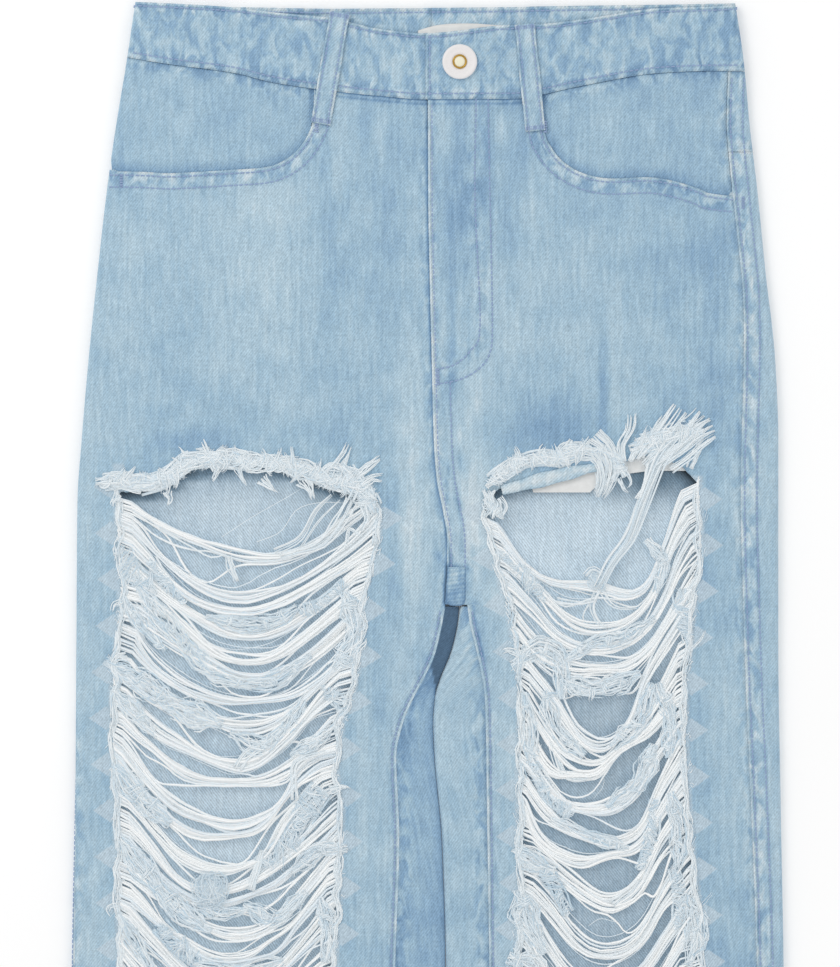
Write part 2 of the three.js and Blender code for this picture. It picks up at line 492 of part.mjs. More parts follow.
// Places of the columns of the back at a drop, from the side seam to the centre or the inner fold.
function backRounds(side, at, innerOut) {
  const { turn, end, seam, onBack } = rounds(side, at);
  const list = side.hand > 0 ? [seam + SEAM / 2, mix(seam, turn, 0.5), ...spread(turn - 0.01, end, 5)] : [seam + SEAM / 2];
  if (side.hand < 0) list.push(...spread(seam + SEAM / 2, end, 3));
  const { inner, outer, ramp, clear } = POCKET;
  const marks = [outer + clear + ramp, outer + clear, mix(outer, inner, 0.33), mix(outer, inner, 0.67), inner - clear, inner - clear - ramp];
  list.push(...marks.map(onBack), onBack(innerOut));
  return list;
}

// A row of corners across the back. dropOf gives the drop of each from its X and whether it is on the back.
function backRow(side, at, innerOf, dropOf = () => at) {
  return backRounds(side, at, innerOf(at)).map((_, i) => {
    let drop = at;
    for (let n = 0; n < 4; n++) {
      const p = skin(side, backRounds(side, drop, innerOf(drop))[i], drop);
      drop = dropOf(p.x, p.nz > 0.99);
    }
    return corner(skin(side, backRounds(side, drop, innerOf(drop))[i], drop), drop, clothAt(drop));
  });
}

const centreBack = (side) => (drop) => side.hand * read(CENTRE, "drop", "back", drop) + SEAM / 2;

function backPanel(side) {
  const foldEnd = (drop) => side.fold(drop) + side.rise(drop) / 2;
  const rowAt = (at, dropOf) => {
    const row = backRow(side, at, at > FORK ? foldEnd : centreBack(side), dropOf);
    const radius = side.rise(at) / 2;
    const fold = side.hand * foldEnd(Math.max(at, 362));
    for (const turn of [0.25, 0.5, 0.75, 1]) {
      const a = -QUARTER + turn * Math.PI;
      const [c, s] = [Math.cos(a), Math.sin(a)];
      const p = { x: fold - side.hand * radius * c, z: radius * (1 + s), nx: side.hand * c, nz: -s };
      row.push(corner(p, at, clothAt(at)));
    }
    const inseam = side.inseam(Math.max(at, 362)) - SEAM / 2;
    row.push(corner({ x: side.hand * inseam, z: 2 * radius, nx: 0, nz: -1 }, at, clothAt(at)));
    return row;
  };
  const first = rowAt(112, (x, onBack) => yokeLine(side, x, onBack) + SEAM);
  const grid = [first, ...BACK_DROPS.map((drop) => rowAt(drop))];
  const forkRow = BACK_DROPS.indexOf(FORK) + 1;
  const flatColumns = backRounds(side, 200, 0).length - 1;
  return wall(grid, (r, c) => r > forkRow || c < flatColumns);
}

function yoke(side) {
  const lines = [
    (x, onBack) =>
      onBack || side.hand < 0 ? bandEdge("back", x) + BAND_DEPTH + 2 * SEAM : bandEdge("bottom", x) + 2 * SEAM,
    () => RAMP.top,
    () => RAMP.foot,
    (x, onBack) => yokeLine(side, x, onBack),
  ];
  return wall(lines.map((line) => backRow(side, 60, centreBack(side), line)));
}

const BAND_LEVEL = { high: BAND_LOFT, low: BAND_LIFT, body: false };

// The front of the waistband on one side, to the middle of the outer fold.
function bandFront(side) {
  const lapped = side.hand > 0;
  const level = lapped
    ? { ...BAND_LEVEL, lift: (round) => LAP.rise * (1 - smooth(LAP.flat, LAP.foot, round)) }
    : BAND_LEVEL;
  const start = lapped ? LAP.end : -LAP.under;
  const rows = [0, 0.5, 1].map((part) => {
    const columns = (drop) => {
      const { turn } = rounds(side, drop, BAND_LOFT, BAND_LIFT);
      const near = lapped ? [start, 14, LAP.flat, 36, 42, LAP.foot] : [start, 2, 30];
      return [...near, ...spread(near.at(-1), turn, 11), ...spread(turn, turn + (QUARTER * (BAND_LOFT - BAND_LIFT)) / 2 - SEAM / 2, 3)];
    };
    return columns(20).map((round, i) => {
      const x = side.hand * Math.min(round, 186);
      const drop = mix(bandEdge("top", x), bandEdge("bottom", x), part);
      const here = columns(drop)[i];
      return corner(skin(side, here, drop, level), drop, BAND_CLOTH);
    });
  });
  return wall(rows);
}

function bandBack() {
  const rows = [0, 0.5, 1].map((part) => {
    const row = [];
    for (const side of SIDES) {
      const top = bandEdge("back", side.hand * 180);
      const drop = top + BAND_DEPTH * part;
      const { turn, end, onBack } = rounds(side, drop, BAND_LOFT, BAND_LIFT);
      const middle = turn + (QUARTER * (BAND_LOFT - BAND_LIFT)) / 2 + SEAM / 2;
      const list = [middle, ...spread(middle, end, 3)].map((round) => corner(skin(side, round, drop, BAND_LEVEL), drop, BAND_CLOTH));
      for (const out of [140, 94, 48]) {
        const d = bandEdge("back", side.hand * out) + BAND_DEPTH * part;
        list.push(corner({ x: side.hand * out, z: BAND_LIFT, nx: 0, nz: 1 }, d, BAND_CLOTH));
      }
      row.push(...(side.hand < 0 ? list : list.reverse()));
    }
    return row;
  });
  return wall(rows);
}

// The cloth behind a pocket opening: it runs from under the front to the waistband and the side seam.
function facing(side) {
  const at = side.opening.at(-1).drop;
  const { turn, seam } = rounds(side, at);
  const line = [...side.opening];
  if (side.hand < 0) line.push(...[turn, mix(turn, seam, 0.35), mix(turn, seam, 0.7)].map((out) => ({ out, drop: at - 0.3 })));
  line.push({ out: seam - SEAM / 2, drop: at - 0.4 });
  line[0] = { ...line[0], drop: bandEdge("bottom", side.hand * line[0].out) + 2 * SEAM };
  const last = line.length - 1;
  const cornerAt = Math.round(last * 0.75);
  const bandDrop = (out) => bandEdge("bottom", side.hand * Math.min(out, 186)) + 2 * SEAM;
  const grid = [[], [], [], [], []];
  line.forEach((p, i) => {
    const a = line[Math.max(0, i - 1)];
    const b = line[Math.min(last, i + 1)];
    const long = Math.hypot(b.out - a.out, b.drop - a.drop);
    const under = { out: p.out - (UNDERLAP * (b.drop - a.drop)) / long, drop: p.drop + (UNDERLAP * (b.out - a.out)) / long };
    if (i === 0) Object.assign(under, { out: p.out - UNDERLAP, drop: bandDrop(p.out - UNDERLAP) });
    const seamOut = (drop) => rounds(side, drop).seam - SEAM / 2;
    if (i === last) Object.assign(under, { out: seamOut(p.drop + UNDERLAP), drop: p.drop + UNDERLAP });
    let far;
    if (i <= cornerAt) {
      const out = mix(line[0].out + 7, seamOut(40), i / cornerAt);
      far = { out, drop: bandDrop(out) };
    } else {
      const drop = mix(bandDrop(seamOut(40)), p.drop - 8, (i - cornerAt) / (last - cornerAt));
      far = { out: seamOut(drop), drop };
    }
    const places = [under, p, ...[0.3, 0.62, 1].map((t) => ({ out: mix(p.out, far.out, t), drop: mix(p.drop, far.drop, t) }))];
    const sunk = CLOTH + SEAM;
    [sunk, sunk, 0.5, 0, 0].forEach((deep, r) => {
      const q = places[r];
      grid[r].push(corner(skin(side, q.out, q.drop), q.drop, LINING, deep));
    });
  });
  return wall(grid);
}

// What a pocket opening takes away from the front.
function openingCut(side) {
  const line = side.opening.map((p) => ({ x: side.hand * p.out, drop: p.drop }));
  const last = line.at(-1);
  const far = side.hand * 240;
  const head = [{ x: far, drop: last.drop - 0.4 }, { x: far, drop: 0 }, { x: line[0].x, drop: 0 }];
  return plate([...line, ...head], -2, 14);
}

// The outline moved inwards.
function inset(outline, distance) {
  let area = 0;
  outline.forEach((p, i) => {
    const q = outline[(i + 1) % outline.length];
    area += p.x * q.drop - q.x * p.drop;
  });
  const turn = Math.sign(area);
  return outline.map((p, i) => {
    const a = outline[(i + outline.length - 1) % outline.length];
    const b = outline[(i + 1) % outline.length];
    const u = new THREE.Vector2(p.x - a.x, p.drop - a.drop).normalize();
    const v = new THREE.Vector2(b.x - p.x, b.drop - p.drop).normalize();
    const normal = new THREE.Vector2(-(u.y + v.y), u.x + v.x).normalize();
    const push = (turn * distance) / Math.max(0.6, normal.dot(new THREE.Vector2(-u.y, u.x)));
    return { x: p.x + normal.x * push, drop: p.drop + normal.y * push };
  });
}

// X of an outline at a drop, on its outer or inner side.
function crossing(outline, drop, hand) {
  const found = [];
  outline.forEach((p, i) => {
    const q = outline[(i + 1) % outline.length];
    if (p.drop <= drop === q.drop <= drop) return;
    found.push(mix(p.x, q.x, (drop - p.drop) / (q.drop - p.drop)));
  });
  return hand > 0 ? Math.max(...found) : Math.min(...found);
}

// Drop of the head of an outline at an X.
function headAt(outline, x) {
  const found = [];
  outline.forEach((p, i) => {
    const q = outline[(i + 1) % outline.length];
    if (p.x <= x !== q.x <= x) found.push(mix(p.drop, q.drop, (x - p.x) / (q.x - p.x)));
  });
  return Math.min(...found);
}

// The frayed strip round a rip with the yarns that cross it and the tufts at its head.
function ripWeb(side) {
  const near = inset(side.rip, STRIP.inset);
  const middle = inset(side.rip, STRIP.inset + STRIP.wide / 2);
  const far = inset(side.rip, STRIP.inset + STRIP.wide);
  const rings = near.map((p, i) => {
    const q = far[i];
    const [zp, zq] = [frontHeight(side, p.x, p.drop) - STRIP.below, frontHeight(side, q.x, q.drop) - STRIP.below];
    return [
      [p.x, -p.drop, zp], [q.x, -q.drop, zq], [q.x, -q.drop, zq - STRIP.thick], [p.x, -p.drop, zp - STRIP.thick],
    ];
  });
  let body = tube(rings, true);
  side.swags.forEach((swag, n) => {
    const ends = [
      { drop: swag.outer, hand: side.hand },
      { drop: swag.inner, hand: -side.hand },
    ];
    const x = ends.map((end) => crossing(middle, end.drop, end.hand));
    const path = [];
    for (let i = 0; i <= SWAG_STEPS; i++) {
      const t = i / SWAG_STEPS;
      const at = mix(x[0], x[1], t);
      const k = (at - swag.at) * (x[0] - swag.at) > 0 ? 0 : 1;
      const fall = Math.abs((at - swag.at) / (x[k] - swag.at)) ** 1.55;
      const drop = swag.low - (swag.low - ends[k].drop) * fall;
      const end = i === 0 || i === SWAG_STEPS;
      const half = (swag.wide / 2) * (end ? 0.7 : 1);
      const thick = end ? 0.7 : SWAG_THICK;
      const face = frontHeight(side, at, drop) - STRIP.below - STRIP.thick / 2;
      const z = end ? face : mix(face - 0.3, 3.9 - 0.35 * (n % 2), Math.sin(Math.PI * t) ** 0.6);
      const place = (shift) => (end ? crossing(middle, drop + shift, ends[i === 0 ? 0 : 1].hand) : at);
      path.push([
        [place(-half), -(drop - half), z - thick / 2], [place(half), -(drop + half), z - thick / 2],
        [place(half * 0.6), -(drop + half * 0.6), z + thick / 2], [place(-half * 0.6), -(drop - half * 0.6), z + thick / 2],
      ]);
    }
    body = body.add(tube(path));
  });
  for (const tuft of side.tufts) {
    const a = (tuft.angle * Math.PI) / 180;
    const [ux, ud] = [Math.cos(a), -Math.sin(a)];
    const foot = { x: tuft.x, drop: headAt(middle, tuft.x) };
    const rings = [
      { along: -0.4, wide: 0.4, z: -0.7, thick: 0.7 },
      { along: 0.3, wide: 0.9, z: 0.6, thick: 0.8 },
      { along: 3.4, wide: 0.95, z: 1.0, thick: 0.9 },
      { along: mix(3.4, tuft.long, 0.6), wide: 0.6, z: 1.05, thick: 0.8 },
      { along: tuft.long, wide: 0.14, z: 0.85, thick: 0.4 },
    ].map((r) => {
      const at = { x: foot.x + ux * r.along, drop: foot.drop + ud * r.along };
      const z = frontHeight(side, at.x, at.drop) + r.z;
      const half = (tuft.wide / 2) * r.wide;
      return [
        [at.x + ud * half, -(at.drop - ux * half), z - r.thick / 2],
        [at.x - ud * half, -(at.drop + ux * half), z - r.thick / 2],
        [at.x, -at.drop, z + r.thick / 2],
      ];
    });
    body = body.add(tube(rings));
  }
  return body;
}

// A pocket bag: one closed bag of two layers, lying between the front and the back.
function pocketBag(side) {
  const outline = side.bag;
  const drops = [62, BAG.rampTop, BAG.rampFoot, 206, 294];
  const limit = { x0: side.hand * 30, x1: side.hand * 200 };
  const grid = drops.map((drop) => {
    const z = mix(BAG.low, BAG.high, smooth(BAG.rampTop, BAG.rampFoot, drop));
    return [limit.x0, limit.x1].map((x) => ({ outer: [x, -drop, z + LINING], inner: [x, -drop, z] }));
  });
  return wall(grid).intersect(plate(outline, -1, 12));
}

function backPocket(side) {
  const { inner, outer, top, side: foot, point } = POCKET;
  const tip = (inner + outer) / 2;
  const outline = [[inner, top], [outer, top], [outer - 3, foot], [tip, point], [inner + 3, foot]];
  return plate(outline.map(([out, drop]) => ({ x: side.hand * out, drop })), 0, CLOTH);
}

function beltLoop({ x0, drop0, x1, drop1, back }) {
  const long = Math.hypot(x1 - x0, drop1 - drop0);
  const [ux, ud] = [(x1 - x0) / long, (drop1 - drop0) / long];
  const rings = [0, 0.06, 0.45, 0.66, 0.74, 0.86, 1].map((t) => {
    const [x, drop] = [mix(x0, x1, t), mix(drop0, drop1, t)];
    const edge = bandEdge("bottom", x);
    const onBand = 1 - smooth(edge + 0.5, edge + 7, drop);
    const low = back ? 0 : mix(HIP_LOFT, BAND_LOFT, onBand) + SEAM + (t < 1 && t > 0 ? 0.25 : 0) + 0.1;
    const half = LOOP.wide / 2;
    return [
      [x - ud * half, -(drop + ux * half), low], [x + ud * half, -(drop - ux * half), low],
      [x + ud * half, -(drop - ux * half), low + LOOP.thick], [x - ud * half, -(drop + ux * half), low + LOOP.thick],
    ];
  });
  return tube(rings);
}

const [RIGHT, LEFT] = SIDES;
const box = (x0, x1, drop0, drop1, low, high) =>
  plate([{ x: x0, drop: drop0 }, { x: x1, drop: drop0 }, { x: x1, drop: drop1 }, { x: x0, drop: drop1 }], low, high);

// The fly: a facing under the left front cut to a J, a shield behind it and the zip between them.
function flyFacing() {
  const foot = FLY.foot - 16;
  const outline = [
    { x: 1, drop: 62 }, { x: 33, drop: 62 }, { x: 33, drop: foot - 40 }, { x: 31, drop: foot - 20 },
    { x: 24, drop: foot - 8 }, { x: 12, drop: foot - 2 }, { x: 3.4, drop: foot },
  ];
  return plate(outline, 4.2, 5.2);
}

function lathe(profile, x, drop, low) {
  const geometry = new THREE.LatheGeometry(profile.map(([r, z]) => new THREE.Vector2(r, z)), 26);
  geometry.rotateX(QUARTER);
  geometry.translate(x, -drop, low);
  const position = Array.from(geometry.getAttribute("position").array);
  return solid(position, Array.from(geometry.index.array));
}

const lapTop = BAND_LOFT + LAP.rise;
const { radius, thick, hubRadius, hubThick } = BUTTON;
const disc = [
  [0, 0], [radius - 0.5, 0], [radius, 0.5], [radius, thick - 0.6], [radius - 0.6, thick], [radius - 2.2, thick],
  [radius - 3, thick - 0.5], [0, thick - 0.5],
];
const hub = [
  [0, 0], [hubRadius, 0], [hubRadius, hubThick * 0.6], [hubRadius - 0.4, hubThick], [hubRadius - 1, hubThick],
  [hubRadius - 1.3, hubThick * 0.55], [1.6, hubThick * 0.55], [0, hubThick * 0.8],
];

const pieces = [];
const add = (name, body, colour) => pieces.push({ name, body, colour });
for (const side of SIDES) {
  const rip = plate(side.rip, -2, 14);
  add(`front_${side.name}`, frontPanel(side).subtract(rip).subtract(openingCut(side)), COLOUR.denim);
  add(`back_${side.name}`, backPanel(side), COLOUR.denim);
  add(`yoke_${side.name}`, yoke(side), COLOUR.denim);
  add(`waistband_front_${side.name}`, bandFront(side), COLOUR.denim);
  add(`pocket_facing_${side.name}`, facing(side), COLOUR.denim);
  add(`pocket_bag_${side.name}`, pocketBag(side), COLOUR.cotton);
  add(`back_pocket_${side.name}`, backPocket(side), COLOUR.denim);
  add(`rip_web_${side.name}`, ripWeb(side), COLOUR.yarn);
}
add("waistband_back", bandBack(), COLOUR.denim);
add("waistband_tape", box(TAPE.x0, TAPE.x1, TAPE.drop0, TAPE.drop1, BAND_LIFT + BAND_CLOTH + SEAM,
  BAND_LIFT + BAND_CLOTH + SEAM + TAPE.thick), COLOUR.cotton);
add("fly_facing", flyFacing(), COLOUR.inside);
add("zip", box(-11, 13, 68, 205, 2.9, 3.9), COLOUR.cotton);
add("fly_shield", box(-14, 34, 67, 214, 1.6, 2.6), COLOUR.inside);
for (const loop of LOOPS) add(loop.name, beltLoop(loop), COLOUR.denim);
add("button_disc", lathe(disc, BUTTON.x, BUTTON.drop, lapTop + SEAM), COLOUR.disc);
add("button_hub", lathe(hub, BUTTON.x, BUTTON.drop, lapTop + 2 * SEAM + thick - 0.5), COLOUR.brass);

const jeans = new THREE.Group();
jeans.name = "ripped_jeans";
for (const { name, body, colour } of pieces) {
  const metal = name.startsWith("button");
  const material = new THREE.MeshStandardMaterial({ color: colour, roughness: metal ? 0.4 : 0.9, metalness: metal ? 0.6 : 0 });
  const mesh = new THREE.Mesh(geometryOf(body), material);
  mesh.name = name;
  mesh.material.name = name;
  jeans.add(mesh);
}

// The origin is the middle of the bottom of the whole.
const bounds = new THREE.Box3().setFromObject(jeans);
for (const mesh of jeans.children)
  mesh.geometry.translate(-(bounds.min.x + bounds.max.x) / 2, -(bounds.min.y + bounds.max.y) / 2, -bounds.min.z);

export default jeans;
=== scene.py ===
"""Ripped high-rise jeans laid flat on their back. Builds the cloth, sewing, frayed rips, materials and studio
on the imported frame. Sizes in the tables are millimetres; a drop is a distance below the waist, "right" and
"left" are the wearer's, and the right leg is at negative X."""

import math

import bpy
import numpy as np
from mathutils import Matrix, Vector


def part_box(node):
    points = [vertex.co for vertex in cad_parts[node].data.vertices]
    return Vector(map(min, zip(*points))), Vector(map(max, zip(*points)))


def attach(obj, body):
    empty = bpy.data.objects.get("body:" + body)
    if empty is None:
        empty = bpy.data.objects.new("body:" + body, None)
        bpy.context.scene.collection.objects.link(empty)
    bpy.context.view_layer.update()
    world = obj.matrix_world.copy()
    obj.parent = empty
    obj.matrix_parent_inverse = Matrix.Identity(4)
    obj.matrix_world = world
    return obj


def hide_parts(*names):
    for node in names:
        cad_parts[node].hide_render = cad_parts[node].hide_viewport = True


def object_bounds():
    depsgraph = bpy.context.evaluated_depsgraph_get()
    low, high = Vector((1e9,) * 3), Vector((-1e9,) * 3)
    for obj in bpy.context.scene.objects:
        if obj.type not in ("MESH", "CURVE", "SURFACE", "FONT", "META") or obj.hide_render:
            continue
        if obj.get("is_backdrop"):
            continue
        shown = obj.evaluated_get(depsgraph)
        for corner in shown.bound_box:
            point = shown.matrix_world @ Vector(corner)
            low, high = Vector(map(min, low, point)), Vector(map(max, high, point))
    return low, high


bl_info = {
    "name": "Ripped jeans",
    "version": (1, 0, 0),
    "blender": (4, 5, 0),
    "location": "View3D > Sidebar > Jeans",
    "description": "Builds a pair of ripped jeans laid flat, with their sewing, frayed rips and studio",
    "category": "Add Mesh",
}

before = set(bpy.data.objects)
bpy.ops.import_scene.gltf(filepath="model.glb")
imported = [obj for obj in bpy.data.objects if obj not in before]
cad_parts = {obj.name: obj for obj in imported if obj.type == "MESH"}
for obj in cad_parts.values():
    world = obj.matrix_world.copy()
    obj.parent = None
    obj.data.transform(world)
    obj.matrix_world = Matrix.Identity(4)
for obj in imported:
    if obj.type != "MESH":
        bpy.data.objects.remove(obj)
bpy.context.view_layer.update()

# The CAD's origin, from the plain strip inside the waistband, whose upper corner is at X -5 and drop 12.4.
_lo, _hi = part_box("waistband_tape")
SHIFT_X, SHIFT_Y = _lo.x * 1000 + 5.0, _hi.y * 1000 + 12.4

CLOTH, BAND_CLOTH, SEAM, LENGTH, HEM = 1.15, 2.0, 0.3, 1060.0, 1043.0
HIP_LOFT, LEG_LOFT, BAND_LOFT, BAND_LIFT, BAND_DEPTH = 5.8, 5.2, 7.0, 1.5, 40.2
LAP_RISE, LAP_END, LAP_UNDER, LAP_FLAT, LAP_FOOT = 2.3, -2.7, 28.0, 30.0, 48.0
CROTCH, FORK = 338.0, 360.6
FLY_WIDE, FLY_FOOT, FLY_RISE = 38.0, 232.0, 0.9
QUARTER, FAR, TWILL_PITCH = math.pi / 2, 60.0, 1.38

OUTLINE = {
    "drop": [-2, 35, 76, 110, 160, 215, 262, 298, 382, 478, 578, 780, 1060],
    "rightEdge": [176.7, 182.2, 189.0, 193.8, 199.5, 205.2, 209.2, 211.7, 212.4, 213.0, 214.8, 216.6, 218.0],
    "leftEdge": [183.0, 188.4, 192.3, 196.4, 201.4, 207.4, 209.2, 209.2, 209.2, 210.6, 212.4, 214.2, 216.0],
    "rightSeam": [-3.5, -3.5, -3.5, -3.5, -3.5, -3.5, -3.5, -3.5, -2.5, 1.5, 3.2, 3.4, 3.4],
    "leftSeam": [10, 11, 16, 17, 16.6, 21, 24, 24.5, 22.3, 19.7, 17.9, 16.5, 15.5],
}
CENTRE = {
    "drop": [18, 118, 166, 215, 262, 286, 304, 322, 338, 362],
    "front": [-1.2, -0.9, 0.0, 1.2, 2.4, 4.2, 7.8, 10.4, 10.5, 9.0],
    "back": [1.0, 1.5, 3.0, 6.0, 10.0, 12.5, 14.8, 16.6, 17.4, 17.8],
}
INNER = {
    "drop": [362, 372, 390, 402, 416, 432, 452, 500, 578, 780, 1060],
    "rightInseam": [9.0, 7.2, 3.0, -2.2, -9.6, -16.4, -20.4, -18.6, -21.0, -24.5, -28.0],
    "rightFold": [17.0, 16.0, 11.8, 6.8, 2.4, 1.2, 2.0, 6.3, 8.6, 3.5, -5.0],
    "leftFold": [18.6, 17.4, 13.2, 8.2, 3.7, 2.5, 3.3, 7.7, 10.2, 13.5, 18.0],
    "leftInseam": [22.6, 24.0, 28.4, 31.0, 33.0, 33.6, 33.9, 34.6, 35.6, 38.0, 42.0],
    "rightRise": [5.2, 4.7, 4.3, 4.3, 4.5, 4.7, 4.8, 5.0, 5.1, 5.2, 5.2],
}
BAND = {
    "x": [-186, -158, -118, -94, -61, -29, -2, 50, 66, 91, 139, 171, 192],
    "top": [-1.2, 0.0, 2.4, 5.4, 8.6, 15.6, 18.0, 12.8, 12.4, 9.6, 2.8, 1.8, 0.6],
    "bottom": [31.4, 36.0, 41.4, 47.2, 52.0, 55.4, 57.4, 57.0, 54.6, 49.2, 41.4, 40.2, 40.2],
    "back": [-1.2, 0.6, 2.0, 2.4, 3.0, 2.8, 2.5, 2.0, 1.6, 1.2, 0.6, 0.0, -0.4],
}
# Pocket openings as (distance outwards from X = 0, drop), from the waistband round to the side.
OPENING = {
    "right": [(69.3, 44), (70.2, 69), (72.6, 77.4), (78.4, 86.6), (86.4, 93.6), (98, 98.2), (117.6, 99.8),
              (138, 101), (157.8, 101.9), (176, 101), (230, 100.5)],
    "left": [(66.6, 44), (68.8, 76.8), (72, 84.8), (78.4, 93.6), (90.6, 101.4), (106.5, 105), (130.6, 104.3),
             (146.7, 106.7), (162.6, 111.6), (172, 114.6), (230, 120)],
}
# The sides of each rip as (drop, X of its viewer's-left side, X of its viewer's-right side).
RIP = {
    "right": [(292, -187, -66), (298, -186.5, -33), (310, -186.8, -30.6), (334, -185.6, -34.8), (352, -184.3, -40.2),
              (388, -187, -43.2), (412, -189.6, -46.8), (430, -190, -54), (460, -188.6, -57.6), (484, -187.3, -54.2),
              (514, -186.4, -55.6), (544, -185.9, -56.2), (574, -185.5, -58.2), (604, -185.1, -60),
              (646, -184.3, -61), (676, -182, -64), (694, -160, -90)],
    "left": [(292, 41, 160.3), (300, 32.5, 160.6), (310, 33.2, 161.4), (325, 37.2, 161.2), (346, 43.2, 159.2),
             (370, 49.2, 156.2), (391, 52.8, 154.3), (412, 55.4, 152), (442, 54.6, 152.2), (472, 54, 153.4),
             (508, 54.6, 156), (529, 56.4, 158.6), (556, 53.4, 161.8), (586, 51.6, 163.1), (634, 54, 161.6),
             (674, 57.2, 157.6), (692, 78, 136)],
}
# The head of each rip as (X, drop).
HEAD = {
    "right": [(-187, 293.4), (-168, 292.2), (-153, 285), (-141, 279.6), (-114, 277.8), (-84, 280.2), (-70.8, 287.4),
              (-51, 293.4), (-32.4, 298.2)],
    "left": [(31.8, 300), (42, 291.6), (66, 286.2), (96, 280.2), (114, 276), (132, 271.8), (150, 277.8),
             (160.2, 288.6)],
}
RIP_FOOT = {"right": 696.0, "left": 695.0}
# Bleached lozenges beside the rips: drop of the first on each side of each rip, viewer's left and right.
LOZENGE_PITCH, LOZENGE_MIDDLE = 27.75, 4.6
LOZENGE_START = {"right": (290.2, 308.8), "left": (305.8, 297.4)}

# Soft creases: X and drop of both ends, half width and height.
CREASES = [
    (103, 190, 105, 292, 9, 0.5), (-95, 140, -98, 250, 22, 0.4), (24, 268, 26, 340, 9, -0.6),
    (-12, 246, -14, 352, 12, 0.4), (-34, 500, -40, 640, 9, 0.5), (44, 520, 46, 680, 8, -0.5),
    (-120, 730, -112, 960, 24, 0.5), (100, 725, 112, 980, 24, 0.5), (-196, 730, -150, 790, 13, -0.6),
    (186, 735, 140, 800, 13, -0.6),
    # Finer creases.
    (14, 70, 13, 170, 5, 0.45), (22, 64, 23, 176, 4, -0.35), (31, 66, 30, 190, 4, 0.35),
    (0, 246, 7, 330, 3.5, -0.45), (18, 236, 21, 330, 4, 0.4), (108, 176, 110, 284, 3.5, -0.4),
    (-60, 96, -52, 150, 8, 0.3), (-150, 118, -172, 200, 12, 0.3), (60, 130, 84, 200, 12, 0.3),
    (178, 128, 186, 250, 7, 0.35), (-196, 150, -204, 250, 6, -0.3), (-30, 70, -34, 130, 7, -0.25),
    (-20, 352, -34, 420, 7, -0.5), (-28, 420, -34, 500, 5, 0.4), (36, 372, 45, 430, 5, 0.45),
    (44, 400, 46, 500, 4, -0.4),
    (-196, 500, -200, 640, 6, 0.3), (184, 420, 186, 600, 5, 0.35), (-70, 760, -60, 900, 10, -0.4),
    (60, 770, 66, 930, 10, -0.4), (-170, 860, -150, 980, 12, -0.4), (160, 870, 150, 1000, 12, -0.4),
    (-150, 712, -90, 722, 6, 0.4), (80, 712, 140, 720, 6, 0.4),
]
YOKE_SIDE, YOKE_CENTRE = 89.0, 116.0
POCKET = dict(inner=48.0, outer=172.0, top=142.0, side=262.0, point=284.0, lift=1.5, ramp=7.0, clear=1.2)


def smooth(low, high, value):
    """Smoothstep."""
    t = np.clip((np.asarray(value, float) - low) / (high - low), 0, 1)
    return t * t * (3 - 2 * t)


def mix(a, b, t):
    return a + (b - a) * t


def read(rows, key, column, at):
    """A column of a table at a place, smooth through its rows and never past them."""
    x, y = np.asarray(rows[key], float), np.asarray(rows[column], float)
    at = np.clip(np.asarray(at, float), x[0], x[-1])
    i = np.clip(np.searchsorted(x, at, side="left") - 1, 0, len(x) - 2)
    slope = np.diff(y) / np.diff(x)
    tangent = np.zeros(len(x))
    tangent[0], tangent[-1] = slope[0], slope[-1]
    a, b = slope[:-1], slope[1:]
    with np.errstate(divide="ignore", invalid="ignore"):
        tangent[1:-1] = np.where(a * b <= 0, 0, 2 * a * b / (a + b))
    wide = x[i + 1] - x[i]
    t = (at - x[i]) / wide
    t2, t3 = t * t, t * t * t
    return ((2 * t3 - 3 * t2 + 1) * y[i] + (t3 - 2 * t2 + t) * wide * tangent[i]
            + (3 * t2 - 2 * t3) * y[i + 1] + (t3 - t2) * wide * tangent[i + 1])


def loft(drop):
    return mix(HIP_LOFT, LEG_LOFT, smooth(300, 430, drop))


def underside(drop):
    return BAND_LIFT * (1 - smooth(52, 66, drop))


class Side:
    """One side of the garment. Distances outwards are positive on both sides."""

    def __init__(self, name):
        self.name, self.hand = name, -1 if name == "right" else 1

    def edge(self, drop):
        return read(OUTLINE, "drop", self.name + "Edge", drop)

    def seam(self, drop):
        return read(OUTLINE, "drop", self.name + "Seam", drop)

    def fold(self, drop):
        return self.hand * read(INNER, "drop", self.name + "Fold", drop)

    def inseam(self, drop):
        return self.hand * read(INNER, "drop", self.name + "Inseam", drop)

    def rise(self, drop):
        if self.hand > 0:
            return loft(drop)
        return mix(loft(drop), read(INNER, "drop", "rightRise", drop), smooth(CROTCH, FORK, drop))

    def centre(self, which, drop):
        return self.hand * read(CENTRE, "drop", which, drop)

    def opening(self):
        """The line of the pocket opening, as (X, drop)."""
        return smooth_line([(self.hand * out, drop) for out, drop in OPENING[self.name]], 3)

    def rip(self, drop):
        """X of both sides of the rip."""
        rows = np.array(RIP[self.name])
        return np.interp(drop, rows[:, 0], rows[:, 1]), np.interp(drop, rows[:, 0], rows[:, 2])


SIDES = [Side("right"), Side("left")]


def relief(x, drop):
    """Height of the creases on the front."""
    high = np.zeros(np.broadcast(x, drop).shape)
    for x0, d0, x1, d1, half, tall in CREASES:
        dx, dd = x1 - x0, d1 - d0
        along = ((x - x0) * dx + (drop - d0) * dd) / (dx * dx + dd * dd)
        t = np.clip(along, 0, 1)
        away = np.hypot(x - x0 - t * dx, drop - d0 - t * dd)
        high += tall * smooth(-0.1, 0.25, along) * (1 - smooth(0.75, 1.1, along)) * np.exp(-((away / half) ** 2))
    return high


def fly_rise(x, drop):
    across = 1 - smooth(FLY_WIDE - 6, FLY_WIDE + 8, x)
    return across * (FLY_RISE * (1 - smooth(FLY_FOOT - 14, FLY_FOOT + 8, drop)) + 1.4 * (1 - smooth(60, 96, drop)))


